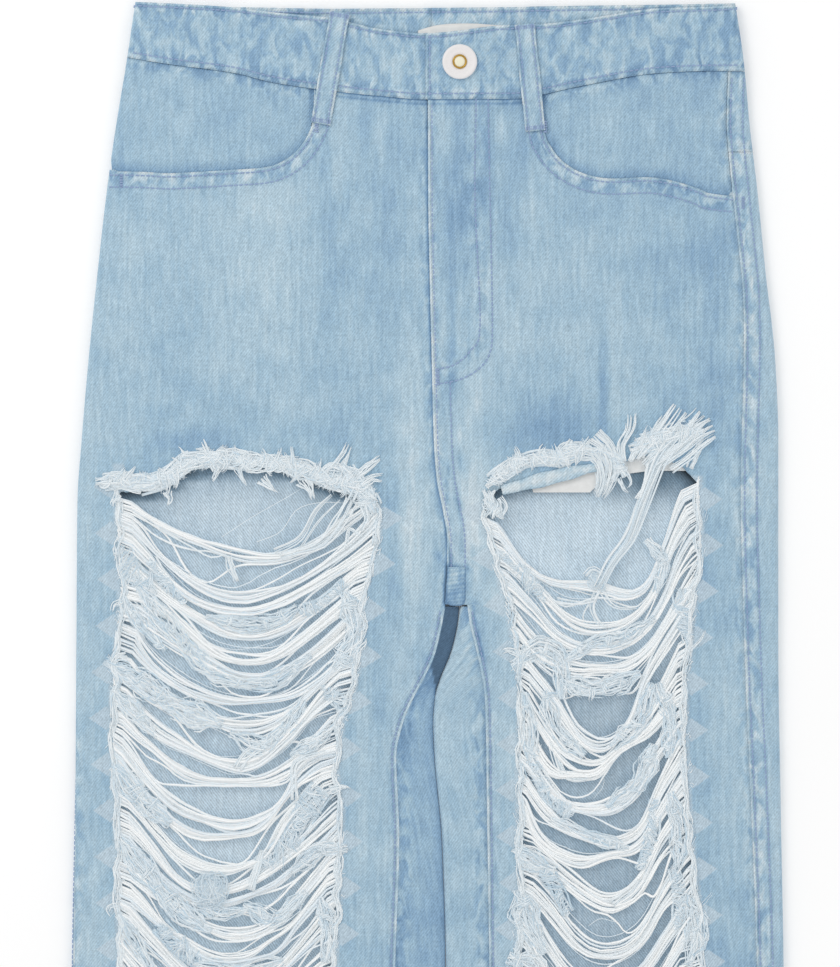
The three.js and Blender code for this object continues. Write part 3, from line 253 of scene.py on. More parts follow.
def front_height(side, x, drop):
    """Outer height of the front at a place."""
    out = side.hand * x
    from_inseam = np.where(drop > CROTCH, out - side.inseam(np.maximum(drop, 362)), 99.0)
    dip = (loft(drop) - side.rise(drop)) * (1 - smooth(2, 26, from_inseam))
    fly = fly_rise(x, drop) if side.hand > 0 else 0
    return loft(drop) - dip + fly + relief(x, drop) * smooth(3, 14, side.edge(drop) - out)


def pocket_lift(out, drop):
    """How far a back pocket lifts the panel that lies on it."""
    p = POCKET
    rise = lambda at, value: smooth(at - p["clear"] - p["ramp"], at - p["clear"], value)
    fall = lambda at, value: 1 - smooth(at + p["clear"], at + p["clear"] + p["ramp"], value)
    return p["lift"] * rise(p["inner"], out) * fall(p["outer"], out) * rise(p["top"], drop) * fall(p["point"], drop)


def skin(side, around, drop, high=None, low=None, lift=None):
    """The skin of one side, unrolled from the front over the outer fold to the back.

    around is the distance outwards along the cloth from X = 0. Returns points in millimetres (X, drop, Z) and
    the direction to the inside."""
    around, drop = np.broadcast_arrays(np.asarray(around, float), np.asarray(drop, float))
    body = high is None
    high = loft(drop) if body else np.full(drop.shape, float(high))
    low = underside(drop) if body else np.full(drop.shape, float(low))
    radius = (high - low) / 2
    turn = side.edge(drop) - radius
    angle = QUARTER - (around - turn) / radius
    top, bottom = around <= turn, angle <= -QUARTER
    out = turn - (around - turn - 2 * QUARTER * radius)
    angle = np.clip(angle, -QUARTER, QUARTER)
    x = np.where(top, around, np.where(bottom, out, turn + radius * np.cos(angle)))
    if body:
        tall = front_height(side, side.hand * around, drop)
        under = low + pocket_lift(out, drop)
    else:
        tall = high + (lift(around) if lift else 0)
        under = low
    z = np.where(top, tall, np.where(bottom, under, low + radius * (1 + np.sin(angle))))
    nx = np.where(top | bottom, 0, -side.hand * np.cos(angle))
    nz = np.where(top, -1, np.where(bottom, 1, -np.sin(angle)))
    return np.stack([side.hand * x, drop, z], -1), np.stack([nx, np.zeros_like(nx), nz], -1)


def rounds(side, drop, high=None, low=None):
    """Distances round the cloth of the fold's start, its end and the side seam."""
    radius = ((loft(drop) if high is None else high) - (underside(drop) if low is None else low)) / 2
    turn = side.edge(drop) - radius
    seam = np.maximum(side.seam(drop), -0.86 * QUARTER * radius)
    if side.hand < 0:
        seam = np.minimum(seam, 0.86 * QUARTER * radius)
    return turn, turn + 2 * QUARTER * radius, turn + QUARTER * radius - seam


def metres(points):
    """Millimetres with a drop to the frame's metres."""
    p = np.asarray(points, float)
    return np.stack([p[..., 0] + SHIFT_X, SHIFT_Y - p[..., 1], p[..., 2]], -1) / 1000


def to_line(x, drop, line):
    """Distance of places to a line of points, and the nearest point of it."""
    best = np.full(x.shape, 1e9)
    near = np.zeros(x.shape + (2,))
    for (x0, d0), (x1, d1) in zip(line[:-1], line[1:]):
        dx, dd = x1 - x0, d1 - d0
        t = np.clip(((x - x0) * dx + (drop - d0) * dd) / (dx * dx + dd * dd + 1e-12), 0, 1)
        px, pd = x0 + t * dx, d0 + t * dd
        away = np.hypot(x - px, drop - pd)
        closer = away < best
        best = np.where(closer, away, best)
        near = np.where(closer[..., None], np.stack([px, pd], -1), near)
    return best, near


def reach(x, drop, line):
    return to_line(x, drop, line)[0]


def bell(value, wide):
    return np.exp(-((value / wide) ** 2))


def unrolled(across, drop):
    """The UV of a place on the cloth, from millimetres."""
    return np.stack([across, -drop], -1) / 1000


def facing(points, way):
    """Directions straight down (-1) or up (1) for a grid of points."""
    return np.zeros_like(points) + [0, 0, way]


def doubled(grid, axis=1, last=False):
    """A grid with its first or last row or column twice more, for the margin tucked under the next piece."""
    edge = grid.take([-1, -1] if last else [0, 0], axis)
    return np.concatenate([grid, edge] if last else [edge, grid], axis)


def smooth_line(points, step=2.0):
    """A line of points resampled on a smooth curve through them."""
    p = np.asarray(points, float)
    q = np.vstack([2 * p[0] - p[1], p, 2 * p[-1] - p[-2]])
    out = []
    for a, b, c, d in zip(q[:-3], q[1:-2], q[2:-1], q[3:]):
        n = max(1, int(np.linalg.norm(c - b) / step))
        for t in np.arange(n) / n:
            out.append(0.5 * (2 * b + (c - a) * t + (2 * a - 5 * b + 4 * c - d) * t * t
                              + (3 * b - a - 3 * c + d) * t ** 3))
    return np.array(out + [p[-1]])


def mesh_object(name, points, faces, material, uv=None, attributes=None):
    """A smooth mesh object from points in metres and a list of arrays of faces."""
    mesh = bpy.data.meshes.new(name)
    loops = np.concatenate([f.ravel() for f in faces]).astype(np.int32)
    sizes = np.concatenate([np.full(len(f), f.shape[1]) for f in faces]).astype(np.int32)
    mesh.vertices.add(len(points))
    mesh.vertices.foreach_set("co", np.asarray(points, np.float32).ravel())
    mesh.loops.add(len(loops))
    mesh.loops.foreach_set("vertex_index", loops)
    mesh.polygons.add(len(sizes))
    mesh.polygons.foreach_set("loop_start", np.concatenate([[0], np.cumsum(sizes)[:-1]]).astype(np.int32))
    mesh.update(calc_edges=True)
    mesh.validate()
    mesh.polygons.foreach_set("use_smooth", np.ones(len(mesh.polygons), bool))
    if uv is not None:
        index = np.zeros(len(mesh.loops), np.int32)
        mesh.loops.foreach_get("vertex_index", index)
        mesh.uv_layers.new(name="UVMap").data.foreach_set("uv", np.asarray(uv, np.float32)[index].ravel())
    for key, values in (attributes or {}).items():
        mesh.attributes.new(key, "FLOAT", "POINT").data.foreach_set("value", np.asarray(values, np.float32))
    mesh.materials.append(material)
    obj = bpy.data.objects.new(name, mesh)
    bpy.context.collection.objects.link(obj)
    return obj


def shell(name, grids, thick=CLOTH, material=None, keep=None, sunk=0.0, **painted):
    """A closed cloth shell from one or more grids of (points, inward, uv), whose rim closes each grid.

    keep says which cells are cloth, sunk how deep they lie. painted gives the point attributes that the denim
    reads, each as one value or grid, or as a list with one for each grid."""
    painted = {"rope": 0.0, "rim": FAR, "row": FAR, "edge": -FAR, "lozenge": 0.0, **painted}
    points, uvs, faces, marks, base = [], [], [], {key: [] for key in ("inside", *painted)}, 0
    for n, (p, inward, uv) in enumerate(grids):
        rows, cols = size = p.shape[:2]
        mask = np.ones((rows - 1, cols - 1), bool) if keep is None else keep
        outer = np.broadcast_to(np.asarray(sunk, float), size)
        values = {key: value[n] if isinstance(value, list) else value for key, value in painted.items()}
        for inside, depth in ((0.0, outer), (1.0, outer + thick)):
            points.append((p + inward * depth[..., None]).reshape(-1, 3))
            uvs.append(uv.reshape(-1, 2))
            for key, value in {"inside": inside, **values}.items():
                marks[key].append(np.broadcast_to(value, size).ravel())
        index = np.arange(rows * cols).reshape(size)
        top = np.stack([index[:-1, :-1][mask], index[1:, :-1][mask], index[1:, 1:][mask], index[:-1, 1:][mask]], -1)
        padded = np.pad(mask, 1)
        rim = []
        for r0, c0, r1, c1, beyond in (
            (0, 0, 1, 0, padded[1:-1, :-2]), (1, 1, 0, 1, padded[1:-1, 2:]),
            (0, 1, 0, 0, padded[:-2, 1:-1]), (1, 0, 1, 1, padded[2:, 1:-1]),
        ):
            r, k = np.nonzero(mask & ~beyond)
            e0, e1 = index[r + r0, k + c0], index[r + r1, k + c1]
            rim.append(np.stack([e1, e0, e0 + rows * cols, e1 + rows * cols], -1))
        faces.append(np.concatenate([top, top[:, ::-1] + rows * cols, *rim]) + base)
        base += 2 * rows * cols
    points, faces = metres(np.concatenate(points)), np.concatenate(faces)
    # Turn the faces outwards.
    n = np.cross(points[faces[:, 2]] - points[faces[:, 0]], points[faces[:, 3]] - points[faces[:, 1]])
    if np.einsum("ij,ij->i", n, points[faces].mean(1)).sum() < 0:
        faces = faces[:, ::-1]
    used = np.unique(faces)
    renumber = np.zeros(len(points), int)
    renumber[used] = np.arange(len(used))
    return mesh_object(name, points[used], [renumber[faces]], material or the_denim(), np.concatenate(uvs)[used],
                       {key: np.concatenate(value)[used] for key, value in marks.items()})


# Materials


def linear(r, g, b):
    """An sRGB colour of 0 to 255 as linear light."""
    shade = (c / 12.92 if c <= 0.04045 else ((c + 0.055) / 1.055) ** 2.4 for c in (r / 255, g / 255, b / 255))
    return (*shade, 1.0)


# The shades of the picture, as sRGB. The panel's colours move all the shades of their kind.
COLOURS = {"denim": (161, 191, 211), "cotton": (243, 245, 245), "thread": (141, 159, 190)}


def dyed(shade, kind):
    """A shade in linear light, moved with the panel's colour for its kind."""
    chosen = getattr(bpy.context.scene.jeans, kind)
    return tuple(s * c / w for s, c, w in zip(linear(*shade), chosen, linear(*COLOURS[kind]))) + (1.0,)


class Socket:
    """An output of a node, to reckon with as with a number."""

    def __init__(self, nodes, output):
        self.nodes, self.output = nodes, output

    def math(self, operation, *others):
        return self.nodes.math(operation, self, *others)

    def __add__(self, other):
        return self.math("ADD", other)

    def __sub__(self, other):
        return self.math("SUBTRACT", other)

    def __rsub__(self, other):
        return self.nodes.math("SUBTRACT", other, self)

    def __mul__(self, other):
        return self.math("MULTIPLY", other)

    __radd__, __rmul__ = __add__, __mul__


class Nodes:
    """Short calls that build a material's node tree."""

    def __init__(self, name):
        self.material = bpy.data.materials.get(name) or bpy.data.materials.new(name)
        self.material.use_nodes = True
        self.tree = self.material.node_tree
        self.tree.nodes.clear()

    def add(self, kind, inputs, **settings):
        node = self.tree.nodes.new(kind)
        for key, value in settings.items():
            setattr(node, key, value)
        for key, value in inputs.items():
            if isinstance(value, Socket):
                self.tree.links.new(value.output, node.inputs[key])
            else:
                node.inputs[key].default_value = value
        return node

    def out(self, kind, inputs={}, output=0, **settings):
        return Socket(self, self.add(kind, inputs, **settings).outputs[output])

    def math(self, operation, *inputs, clamp=False):
        return self.out("ShaderNodeMath", dict(enumerate(inputs)), operation=operation, use_clamp=clamp)

    def step(self, value, low, high, to_low=0.0, to_high=1.0):
        return self.out("ShaderNodeMapRange", {0: value, 1: low, 2: high, 3: to_low, 4: to_high},
                        interpolation_type="SMOOTHSTEP")

    def noise(self, vector, scale, detail=2.0, rough=0.5, distort=0.0):
        return self.out("ShaderNodeTexNoise", {"Vector": vector, "Scale": scale, "Detail": detail,
                                               "Roughness": rough, "Distortion": distort}, "Fac")

    def mix(self, factor, a, b):
        return self.out("ShaderNodeMix", {0: factor, 6: a, 7: b}, 2, data_type="RGBA")

    def attribute(self, name):
        return self.out("ShaderNodeAttribute", output="Fac", attribute_name=name)

    def vector(self, x, y):
        return self.out("ShaderNodeCombineXYZ", {0: x, 1: y})

    def split(self, vector):
        node = self.add("ShaderNodeSeparateXYZ", {0: vector})
        return Socket(self, node.outputs[0]), Socket(self, node.outputs[1])

    def place(self, own_uv=False):
        """The place on the cloth in millimetres: of its own UV, or of the object."""
        place = self.out("ShaderNodeUVMap") if own_uv else self.out("ShaderNodeTexCoord", output="Object")
        return self.out("ShaderNodeVectorMath", {0: place, 1: (1000, 1000, 1000)}, operation="MULTIPLY")

    def ramp(self, value, *stops):
        """A colour ramp through shades of the denim, from 0 to 1. Those between the ends give their place."""
        node = self.add("ShaderNodeValToRGB", {0: value})
        marks = node.color_ramp.elements
        marks[0].color, marks[1].color = dyed(DENIM[stops[0]], "denim"), dyed(DENIM[stops[-1]], "denim")
        for place, shade in stops[1:-1]:
            marks.new(place).color = dyed(DENIM[shade], "denim")
        return Socket(self, node.outputs[0])

    def bump(self, height, strength):
        return self.out("ShaderNodeBump", {"Height": height, "Distance": 1.0, "Strength": strength})

    def finish(self, **inputs):
        shader = self.out("ShaderNodeBsdfPrincipled", {k.replace("_", " "): v for k, v in inputs.items()})
        self.add("ShaderNodeOutputMaterial", {0: shader})
        return self.material


DENIM = {
    "dark": (113, 148, 182), "low": (140, 173, 201), "mid": (161, 191, 211), "high": (182, 206, 220),
    "light": (214, 226, 232), "bleach": (196, 212, 223), "back_dark": (150, 179, 201), "back_light": (220, 233, 241),
}


def denim(name, own_uv=True):
    """Washed twill. On a shell it reads its UV and its painted attributes; on a plain solid the object's place."""
    n = Nodes(name)
    mm = n.place(own_uv)
    x, y = n.split(mm)
    inside, wear, rope, rim, row, edge, lozenge, hollow = (n.attribute(key) for key in (
        "inside", "wear", "rope", "rim", "row", "edge", "lozenge", "hollow"))
    back = n.step(inside, 0.4, 0.6)
    line = x * 0.8 - y * 0.6 + (n.noise(mm, 0.35) - 0.5) * 0.9
    twill = (line * (2 * math.pi / TWILL_PITCH)).math("SINE")
    streak = n.noise(n.vector(x * 0.5, y * 0.06), 1.0, 3, 0.62) - 0.5
    slub = n.noise(n.vector(x * 0.32, y * 0.02), 1.0, 2, 0.55) - 0.5
    nep = n.noise(mm, 0.72, 2, 0.62) - 0.5
    grain = n.noise(mm, 0.27, 2, 0.55) - 0.5
    mottle = n.noise(mm, 0.052, 3, 0.6) - 0.5
    cloud = n.noise(mm, 0.013) - 0.5
    pucker = n.noise(mm, 0.045) - 0.5
    blotch = n.step(n.noise(n.vector(x * 0.15, y * 0.085), 1.0, 2, 0.5, 0.8), 0.32, 0.68)
    # The thread itself varies in lightness more than in hue.
    strong = grain * 0.2 + 0.085 + back * 0.07
    fine = twill * strong + 1.0 + nep * 0.62 + grain * 0.26 + streak * 0.3
    # Along the sewn edges there are rubbed light and dark patches.
    tone = slub * 0.26 + 0.5 + streak * 0.32 + mottle * 0.34 + cloud * 0.36 + wear + (blotch * 0.95 - 0.46) * rope
    # The rolled edges are rubbed light, which also paints a highlight on them, and the stitching lies in grooves
    # darkened with painted shade.
    tone = tone + n.step(rim + nep * 0.6, 0.5, 1.7, 0.17, 0.0) - n.step(row, 0.3, 1.8, 0.09, 0.0)
    # Bleached lozenges and the pale border of the rips.
    wrapped = ((lozenge + 0.5).math("FRACT") - 0.5).math("ABSOLUTE") * LOZENGE_PITCH
    shape = (edge - LOZENGE_MIDDLE).math("ABSOLUTE").math("DIVIDE", 10.4) + wrapped.math("DIVIDE", 7.2)
    bleached = n.step(shape + nep * 0.24, 0.92, 1.06, 1.0, 0.0)
    border = n.step(edge + nep * 3.0, 2.2, 4.4, 1.0, 0.0)
    along = n.step(edge, -4.0, -3.0) * n.step(lozenge, -0.55, -0.45)
    pale = bleached.math("MAXIMUM", border) * along
    # Inside the rips the cloth lies in shadow.
    hollow = hollow * back
    front = n.ramp(tone, "dark", (0.30, "low"), (0.5, "mid"), (0.72, "high"), "light")
    colour = n.mix(pale * 0.72, front, dyed(DENIM["bleach"], "denim"))
    colour = n.mix(back, colour, n.ramp(tone - hollow * 1.6, "back_dark", "back_light"))
    # Where the painted tone is below -0.6 the cloth is painted darker still, as the shade deep in a fold.
    fine = fine * n.step(wear * -1, 0.6, 1.6, 1.0, 0.5) * (1.0 - hollow)
    colour = n.out("ShaderNodeHueSaturation", {"Value": fine, "Color": colour})
    # Relief: twill, slubs, puckers and the doubled cloth along the sewn edges.
    height = (twill * 0.06 + nep * 0.25 + streak * 0.16 + blotch * rope * 0.75 + pucker * 1.1
              + n.step(rim, 0.4, 2.6, 0.5, 0.0) - n.step(row, 0.2, 1.6, 0.4, 0.0))
    return n.finish(Base_Color=colour, Roughness=0.88, Normal=n.bump(height * 0.001, 0.85), Sheen_Weight=0.12,
                    Sheen_Roughness=0.5, Specular_IOR_Level=0.18)


def the_denim():
    return bpy.data.materials.get("washed_denim") or denim("washed_denim")


def fibre(name, colour, other, kind="cotton"):
    """Loose yarn: fine colour variation along and between strands, and a faint painted glow."""
    n = Nodes(name)
    mm = n.place()
    mixed = n.math("ADD", (n.noise(mm, 0.9, 2, 0.6) - 0.5) * 0.9, n.attribute("tint"), clamp=True)
    shade = n.mix(mixed, dyed(colour, kind), dyed(other, kind))
    # A little painted light: the yarn glows faintly, to stay bright where the pile shades it.
    return n.finish(Base_Color=shade, Roughness=0.92, Normal=n.bump(n.noise(mm, 3.2) * 0.0003, 0.8),
                    Specular_IOR_Level=0.12, Emission_Color=shade, Emission_Strength=0.2)


def cotton(name, colour):
    """Plain woven cotton."""
    n = Nodes(name)
    mm = n.place()
    warp, weft = ((value * (2 * math.pi / 0.8)).math("SINE") for value in n.split(mm))
    weave = warp * weft
    tone = n.math("ADD", weave * 0.12, n.noise(mm, 0.3, 3), clamp=True)
    shade = n.mix(tone, linear(*(c * 0.93 for c in colour)), linear(*colour))
    return n.finish(Base_Color=shade, Roughness=0.9, Normal=n.bump(weave * 0.00006, 0.8), Specular_IOR_Level=0.15)


def metal(name, colour, roughness, metallic):
    """Metal with fine scratches."""
    n = Nodes(name)
    value = n.noise(n.place(), 2.5, 3, 0.6)
    shade = n.mix(value, linear(*(c * 0.9 for c in colour)), linear(*colour))
    return n.finish(Base_Color=shade, Roughness=(value - 0.5) * 0.2 + roughness, Metallic=metallic,
                    Normal=n.bump(value * 0.00005, 0.6))


# Cloth


def polygon_of(side):
    """The outline of a side's rip, finely stepped and ragged."""
    head, rip = HEAD[side.name], RIP[side.name]
    corners = head + [(row[2], row[0]) for row in rip if row[0] > head[-1][1] + 4]
    corners += [(row[1], row[0]) for row in reversed(rip) if row[0] > head[0][1] + 4]
    line = smooth_line(corners + [corners[0]], 1.5)
    line += np.random.default_rng(7).normal(0, 0.35, line.shape)
    line[-1] = line[0]
    return line


def inside_polygon(x, drop, polygon):
    result = np.zeros(x.shape, bool)
    for (x0, d0), (x1, d1) in zip(polygon[:-1], polygon[1:]):
        cross = (d0 <= drop) != (d1 <= drop)
        if d0 != d1:
            result ^= cross & (x < x0 + (drop - d0) / (d1 - d0) * (x1 - x0))
    return result


def rope_from(x, drop, lines):
    """Strength of the rubbed patches: the most of several (line, strength, width)."""
    return np.maximum.reduce([strength * (1 - smooth(wide * 0.35, wide, reach(x, drop, line)))
                              for line, strength, wide in lines])


def band_foot():
    """The lower edge of the front waistband."""
    return [(x, float(read(BAND, "x", "bottom", x))) for x in np.arange(-185, 190, 6.0)]


def side_line(side, top, foot):
    return [(side.hand * float(rounds(side, drop)[2]), drop) for drop in np.arange(top, foot, 8.0)]


# Large soft patches of lighter and darker wash, some of the dark ones painted shade of folds: X, drop, half width, half
# length, amount.
WASH_AND_SHADE = [
    (-110, 160, 46, 70, 0.16), (60, 190, 45, 80, 0.18), (-120, 235, 60, 30, 0.1), (118, 225, 34, 60, 0.08), (19, 80,
    2.6, 20, -0.42), (17, 136, 9, 36, -0.24), (33, 110, 3.5, 24, -0.22), (7, 78, 4, 26, 0.14), (8, 200, 2.5, 30,
    0.2), (15.5, 192, 2.5, 28, 0.2), (11.8, 218, 1.6, 18, -0.4), (12, 172, 2, 30, -0.14), (26, 70, 2.2, 14, 0.2),
    (5, 300, 8, 40, 0.12), (18, 280, 8, 24, 0.06), (26, 305, 5, 50, 0.12), (-10, 320, 8, 55, 0.14), (-27, 400, 9,
    90, -0.16), (42, 440, 8, 120, -0.08), (-10, 470, 10, 140, -0.3), (20, 500, 9, 150, 0.08), (-200, 420, 8, 160,
    -0.14), (186, 480, 12, 120, 0.06), (-120, 60, 60, 22, 0.1), (118, 62, 40, 26, 0.02), (104, 232, 3.5, 50, -0.26),
    (110, 240, 4, 44, 0.12), (-205, 200, 8, 80, -0.12), (-115, 840, 45, 120, 0.14), (110, 840, 45, 120, 0.14),
    (-170, 760, 20, 60, -0.08), (160, 770, 20, 60, -0.08), (36, 84, 3, 22, -0.2), (42, 76, 3, 14, 0.2), (18, 490,
    12, 70, 0.13), (176, 436, 12, 120, 0.1), (-40, 74, 5, 16, -0.14), (-30, 80, 4, 18, 0.14), (-56, 92, 4, 22,
    0.14), (-64, 100, 4, 14, -0.16), (56, 90, 4, 16, -0.2), (78, 70, 14, 5, -0.16), (96, 58, 22, 4, 0.12), (130, 52,
    24, 4, -0.12), (150, 60, 20, 5, 0.08), (172, 80, 4, 26, -0.2), (-150, 60, 26, 5, -0.1), (-104, 66, 22, 5, 0.12),
    (-90, 78, 18, 5, -0.12), (-176, 84, 8, 14, 0.1), (-90, 112, 24, 6, 0.1), (-60, 150, 7, 50, -0.1), (-24, 150, 6,
    60, -0.08), (-44, 190, 8, 50, 0.08), (48, 130, 6, 40, -0.12), (60, 120, 5, 30, 0.12), (150, 150, 22, 10, -0.12),
    (120, 140, 20, 8, 0.1), (170, 190, 8, 60, -0.12), (150, 250, 16, 24, -0.1), (78, 255, 24, 12, -0.14), (-180,
    170, 12, 60, 0.1), (-150, 262, 30, 8, -0.16), (-60, 258, 26, 10, -0.14), (-24, 300, 7, 30, -0.16), (16, 346, 5,
    8, -0.2), (-20, 350, 6, 24, -0.18), (-30, 330, 5, 40, 0.16), (32, 390, 6, 60, -0.2), (36, 470, 4, 90, 0.14),
    (-40, 470, 5, 90, 0.12), (-10, 300, 10, 120, 0.14), (-205, 300, 9, 160, 0.16), (22, 330, 10, 60, 0.16), (-16,
    420, 12, 160, 0.24), (46, 520, 10, 200, 0.22), (-200, 500, 10, 200, 0.16), (60, 262, 40, 20, -0.14), (75, 215,
    24, 46, -0.12), (-130, 235, 50, 26, -0.12), (195, 300, 10, 150, 0.1), (36, 352, 22, 80, 0.22), (28, 250, 8, 60,
    0.1),
]


def wash_and_shade(x, drop):
    tone = np.zeros(x.shape)
    for cx, cd, rx, rd, amount in WASH_AND_SHADE:
        tone += amount * np.exp(-(((x - cx) / rx) ** 2 + ((drop - cd) / rd) ** 2))
    return tone


def front_panel(side):
    """A front: a fine shell cut by its pocket opening and its rip."""
    lapped = side.hand > 0
    nominal = np.concatenate([40 + np.array([0, 0.6, 1.2, 1.8, 2.4, 3, 3.8, 4.8, 6, 8]), np.arange(51, FORK - 1, 4.0),
                              [FORK, FORK + 0.4], np.arange(364, LENGTH - 1, 4.0), [LENGTH]])
    near = np.array([0, 0.03, 0.06, 0.09, 0.12, 0.16, 0.22, 0.32, 0.44, 0.58, 0.72, 0.86])
    flat, arc = np.linspace(0, 1, 64), np.zeros(0) if lapped else np.linspace(0, 1, 7)[1:]
    k, n = len(near), len(near) + len(flat)
    drop = np.repeat(nominal[:, None], n + len(arc), 1)
    for _ in range(4):
        inner = np.where(drop <= FORK + 0.01, side.centre("front", drop) - 0.35 * lapped, side.inseam(drop) - 0.3)
        inner, anchor = inner + SEAM / 2, side.inseam(np.maximum(drop, 362)) + 16
        turn, _, seam = rounds(side, drop)
        seam = seam + SEAM / 2
        end = np.minimum(turn, seam)
        around = np.concatenate([mix(inner[:, :k], anchor[:, :k], near), mix(anchor[:, k:n], end[:, k:n], flat),
                                 mix(turn[:, n:], seam[:, n:], arc)], 1)
        x = side.hand * around
        head = read(BAND, "x", "bottom", x) + SEAM
        drop = nominal[:, None] + (head - 40) * (1 - smooth(40, 150, nominal))[:, None]
    # A margin tucked under the waistband, and under the other front on the right.
    x, drop, sunk = doubled(x, 0), doubled(drop, 0), np.zeros((len(nominal) + 2, n + len(arc)))
    drop[:2] -= [[4], [0.15]]
    sunk[:2] = [[1.6], [1.0]]
    if not lapped:
        x, drop, sunk, n = doubled(x), doubled(drop), doubled(sunk), n + 2
        x[:, :2] += [3, 0.12]
        sunk[:, :2] = [1.5, 1.0]
    opening, rip = side.opening(), polygon_of(side)
    cx, cd = ((a[:-1, :-1] + a[1:, :-1] + a[:-1, 1:] + a[1:, 1:]) / 4 for a in (x, drop))
    above = (side.hand * cx > abs(opening[0, 0]) - 0.2) & (
        cd < np.interp(side.hand * cx, opening[:, 0] * side.hand, opening[:, 1]))
    torn = inside_polygon(cx, cd, rip)
    keep = ~(above | torn)
    if not lapped:
        keep[:, :2] &= cd[:, :2] < FORK
    # Bring the rim of the cuts on to their lines.
    touched = lambda a: a[:-1, :-1] | a[1:, :-1] | a[:-1, 1:] | a[1:, 1:]
    for cut, line in ((above, opening), (torn, rip)):
        rim = touched(np.pad(cut, 1)) & touched(np.pad(~cut, 1))
        rim[:, n - 1:] = False
        x[rim], drop[rim] = to_line(x[rim], drop[rim], line)[1].T
    around = side.hand * x
    p, inward = skin(side, around, drop)
    from_fly = around - side.centre("front", drop)
    above_tab = 1 - smooth(FORK - 40, FORK - 24, drop)
    if lapped:
        p[..., 2] += 0.5 * bell(from_fly - 1.4, 1.1) * above_tab
    inseam_line = [(side.hand * (side.inseam(d) + SEAM / 2), d) for d in np.arange(362, 1060, 8.0)]
    centre_line = [(side.hand * (side.centre("front", d) + SEAM / 2), d) for d in np.arange(58, 362, 8.0)]
    lines = [(opening[2:], 0.55, 13), (inseam_line, 0.3, 7), (centre_line, 0.34, 7), (band_foot(), 0.4, 6),
             (side_line(side, 40 if lapped else 440, 1060), 0.34, 7), ([(-230, 1060), (230, 1060)], 0.5, 22)]
    if lapped:
        lines.append((smooth_line(J_INNER), 0.26, 9))
    rim = np.minimum.reduce([reach(x, drop, opening[2:]), LENGTH - drop, reach(x, drop, inseam_line),
                             (1.4 if lapped else 1.0) * reach(x, drop, centre_line)])
    row = np.minimum.reduce([reach(x, drop, line) for line in front_rows(side)])
    low, high = side.rip(drop)
    on_left = x < (low + high) / 2
    lozenge = (drop - np.where(on_left, *LOZENGE_START[side.name])) / LOZENGE_PITCH
    to_band, to_tab = reach(x, drop, band_foot()), reach(x, drop, TAB)
    # Painted shadow under the waistband's lower edge and round the folded tab at the fork.
    tone = (wash_and_shade(x, drop) + 0.02 - 0.12 * np.exp(-to_band / 5) - 0.9 * bell(to_band, 0.9)
            - 0.32 * bell(to_band - 3, 0.8) - bell(to_tab, 1.0) - 0.08 * np.exp(-to_tab / 4))
    # The fly's folded edge is rubbed light and given a painted highlight, and the front under it a painted shadow.
    if lapped:
        tone += 0.34 * bell(from_fly - 1.4, 1.4) * above_tab - 0.05
    else:
        tone -= (0.9 * bell(from_fly, 1.2) + 0.1 * np.exp(-np.abs(from_fly) / 5)) * (drop < FORK)
    # Painted shade along the creases beside the seams.
    for line, depth, wide in FOLD_SHADOWS:
        tone -= depth * bell(reach(x, drop, line), wide)
    return shell(f"front_{side.name}_cloth", [(p, inward, unrolled(x, drop))], keep=keep, sunk=sunk, wear=tone,
                 rope=rope_from(x, drop, lines), rim=rim, row=row, edge=np.where(on_left, low - x, x - high),
                 lozenge=np.where(drop > RIP_FOOT[side.name], -5, lozenge))


def front_rows(side):
    """The stitching rows on a front, as lines of (X, drop)."""
    rows = [offset(side.opening()[4:], by, side.hand) for by in (2.2, 9.4)]
    if side.hand > 0:
        rows += [[(side.centre("front", d) + by, d) for d in np.arange(top, foot, 6.0)]
                 for by, top, foot in ((2.2, 62, 360), (10.6, 228, 356))]
        rows += [smooth_line(J_INNER, 3), smooth_line(J_OUTER, 3)]
    rows.append([(side.hand * (side.inseam(d) + 2.4), d) for d in np.arange(366, LENGTH, 6.0)])
    rows.append([(x, HEM) for x in side.hand * np.linspace(side.inseam(HEM) + 1, rounds(side, HEM)[0], 30)])
    rows = [np.asarray(row, float) for row in rows]
    if side.hand > 0:
        return [row[row[:, 0] < rounds(side, row[:, 1])[2] - 0.4] for row in rows]
    return [row[-row[:, 0] < side.edge(100) - 1] for row in rows[:2]] + rows[2:]


# The two rows of the fly's curved stitching.
J_INNER = [(27.6, 58), (27, 118), (30, 193), (24.6, 208), (14.9, 216.8), (4.4, 219.6)]
J_OUTER = [(34.8, 58), (36, 118), (37.4, 190), (36, 209.6), (29.4, 219.3), (18, 225.7), (3.6, 228.6)]
# The doubled end of the fly at the fork, and painted shade of the creases beside the seams: line, depth and half width.
TAB = [(9.4, 361), (9.0, 350), (10.3, 338.4), (21.8, 337.6), (21.4, 350), (20.2, 361)]
FOLD_SHADOWS = [
    ([(9.2, 312), (10.8, 325), (12.2, 338)], 0.5, 0.9), ([(17.0, 300), (18.6, 320), (20.4, 337)], 0.35, 0.9),
    ([(4.5, 330), (7.5, 336), (10, 338)], 0.3, 2.5), ([(22, 337.6), (26, 334), (28, 328)], 0.3, 2.2),
    ([(24.0, 348), (27.5, 372), (31.5, 392)], 0.35, 1.1), ([(20.4, 262), (18, 285), (17, 300)], 0.28, 1.0),
    ([(13.0, 268), (9.6, 290), (9.2, 312)], 0.3, 1.0), ([(16, 262), (24, 250), (27, 240)], -0.2, 3.0),
]


def ways(path):
    """The direction along a path at each of its points, and the one across it."""
    way = np.gradient(np.asarray(path, float), axis=0)
    way /= np.linalg.norm(way, axis=1, keepdims=True) + 1e-12
    return way, np.stack([-way[:, 1], way[:, 0]], 1)


def offset(line, by, hand):
    """A line moved sideways, downwards on the pocket openings."""
    return line + by * hand * ways(line)[1]


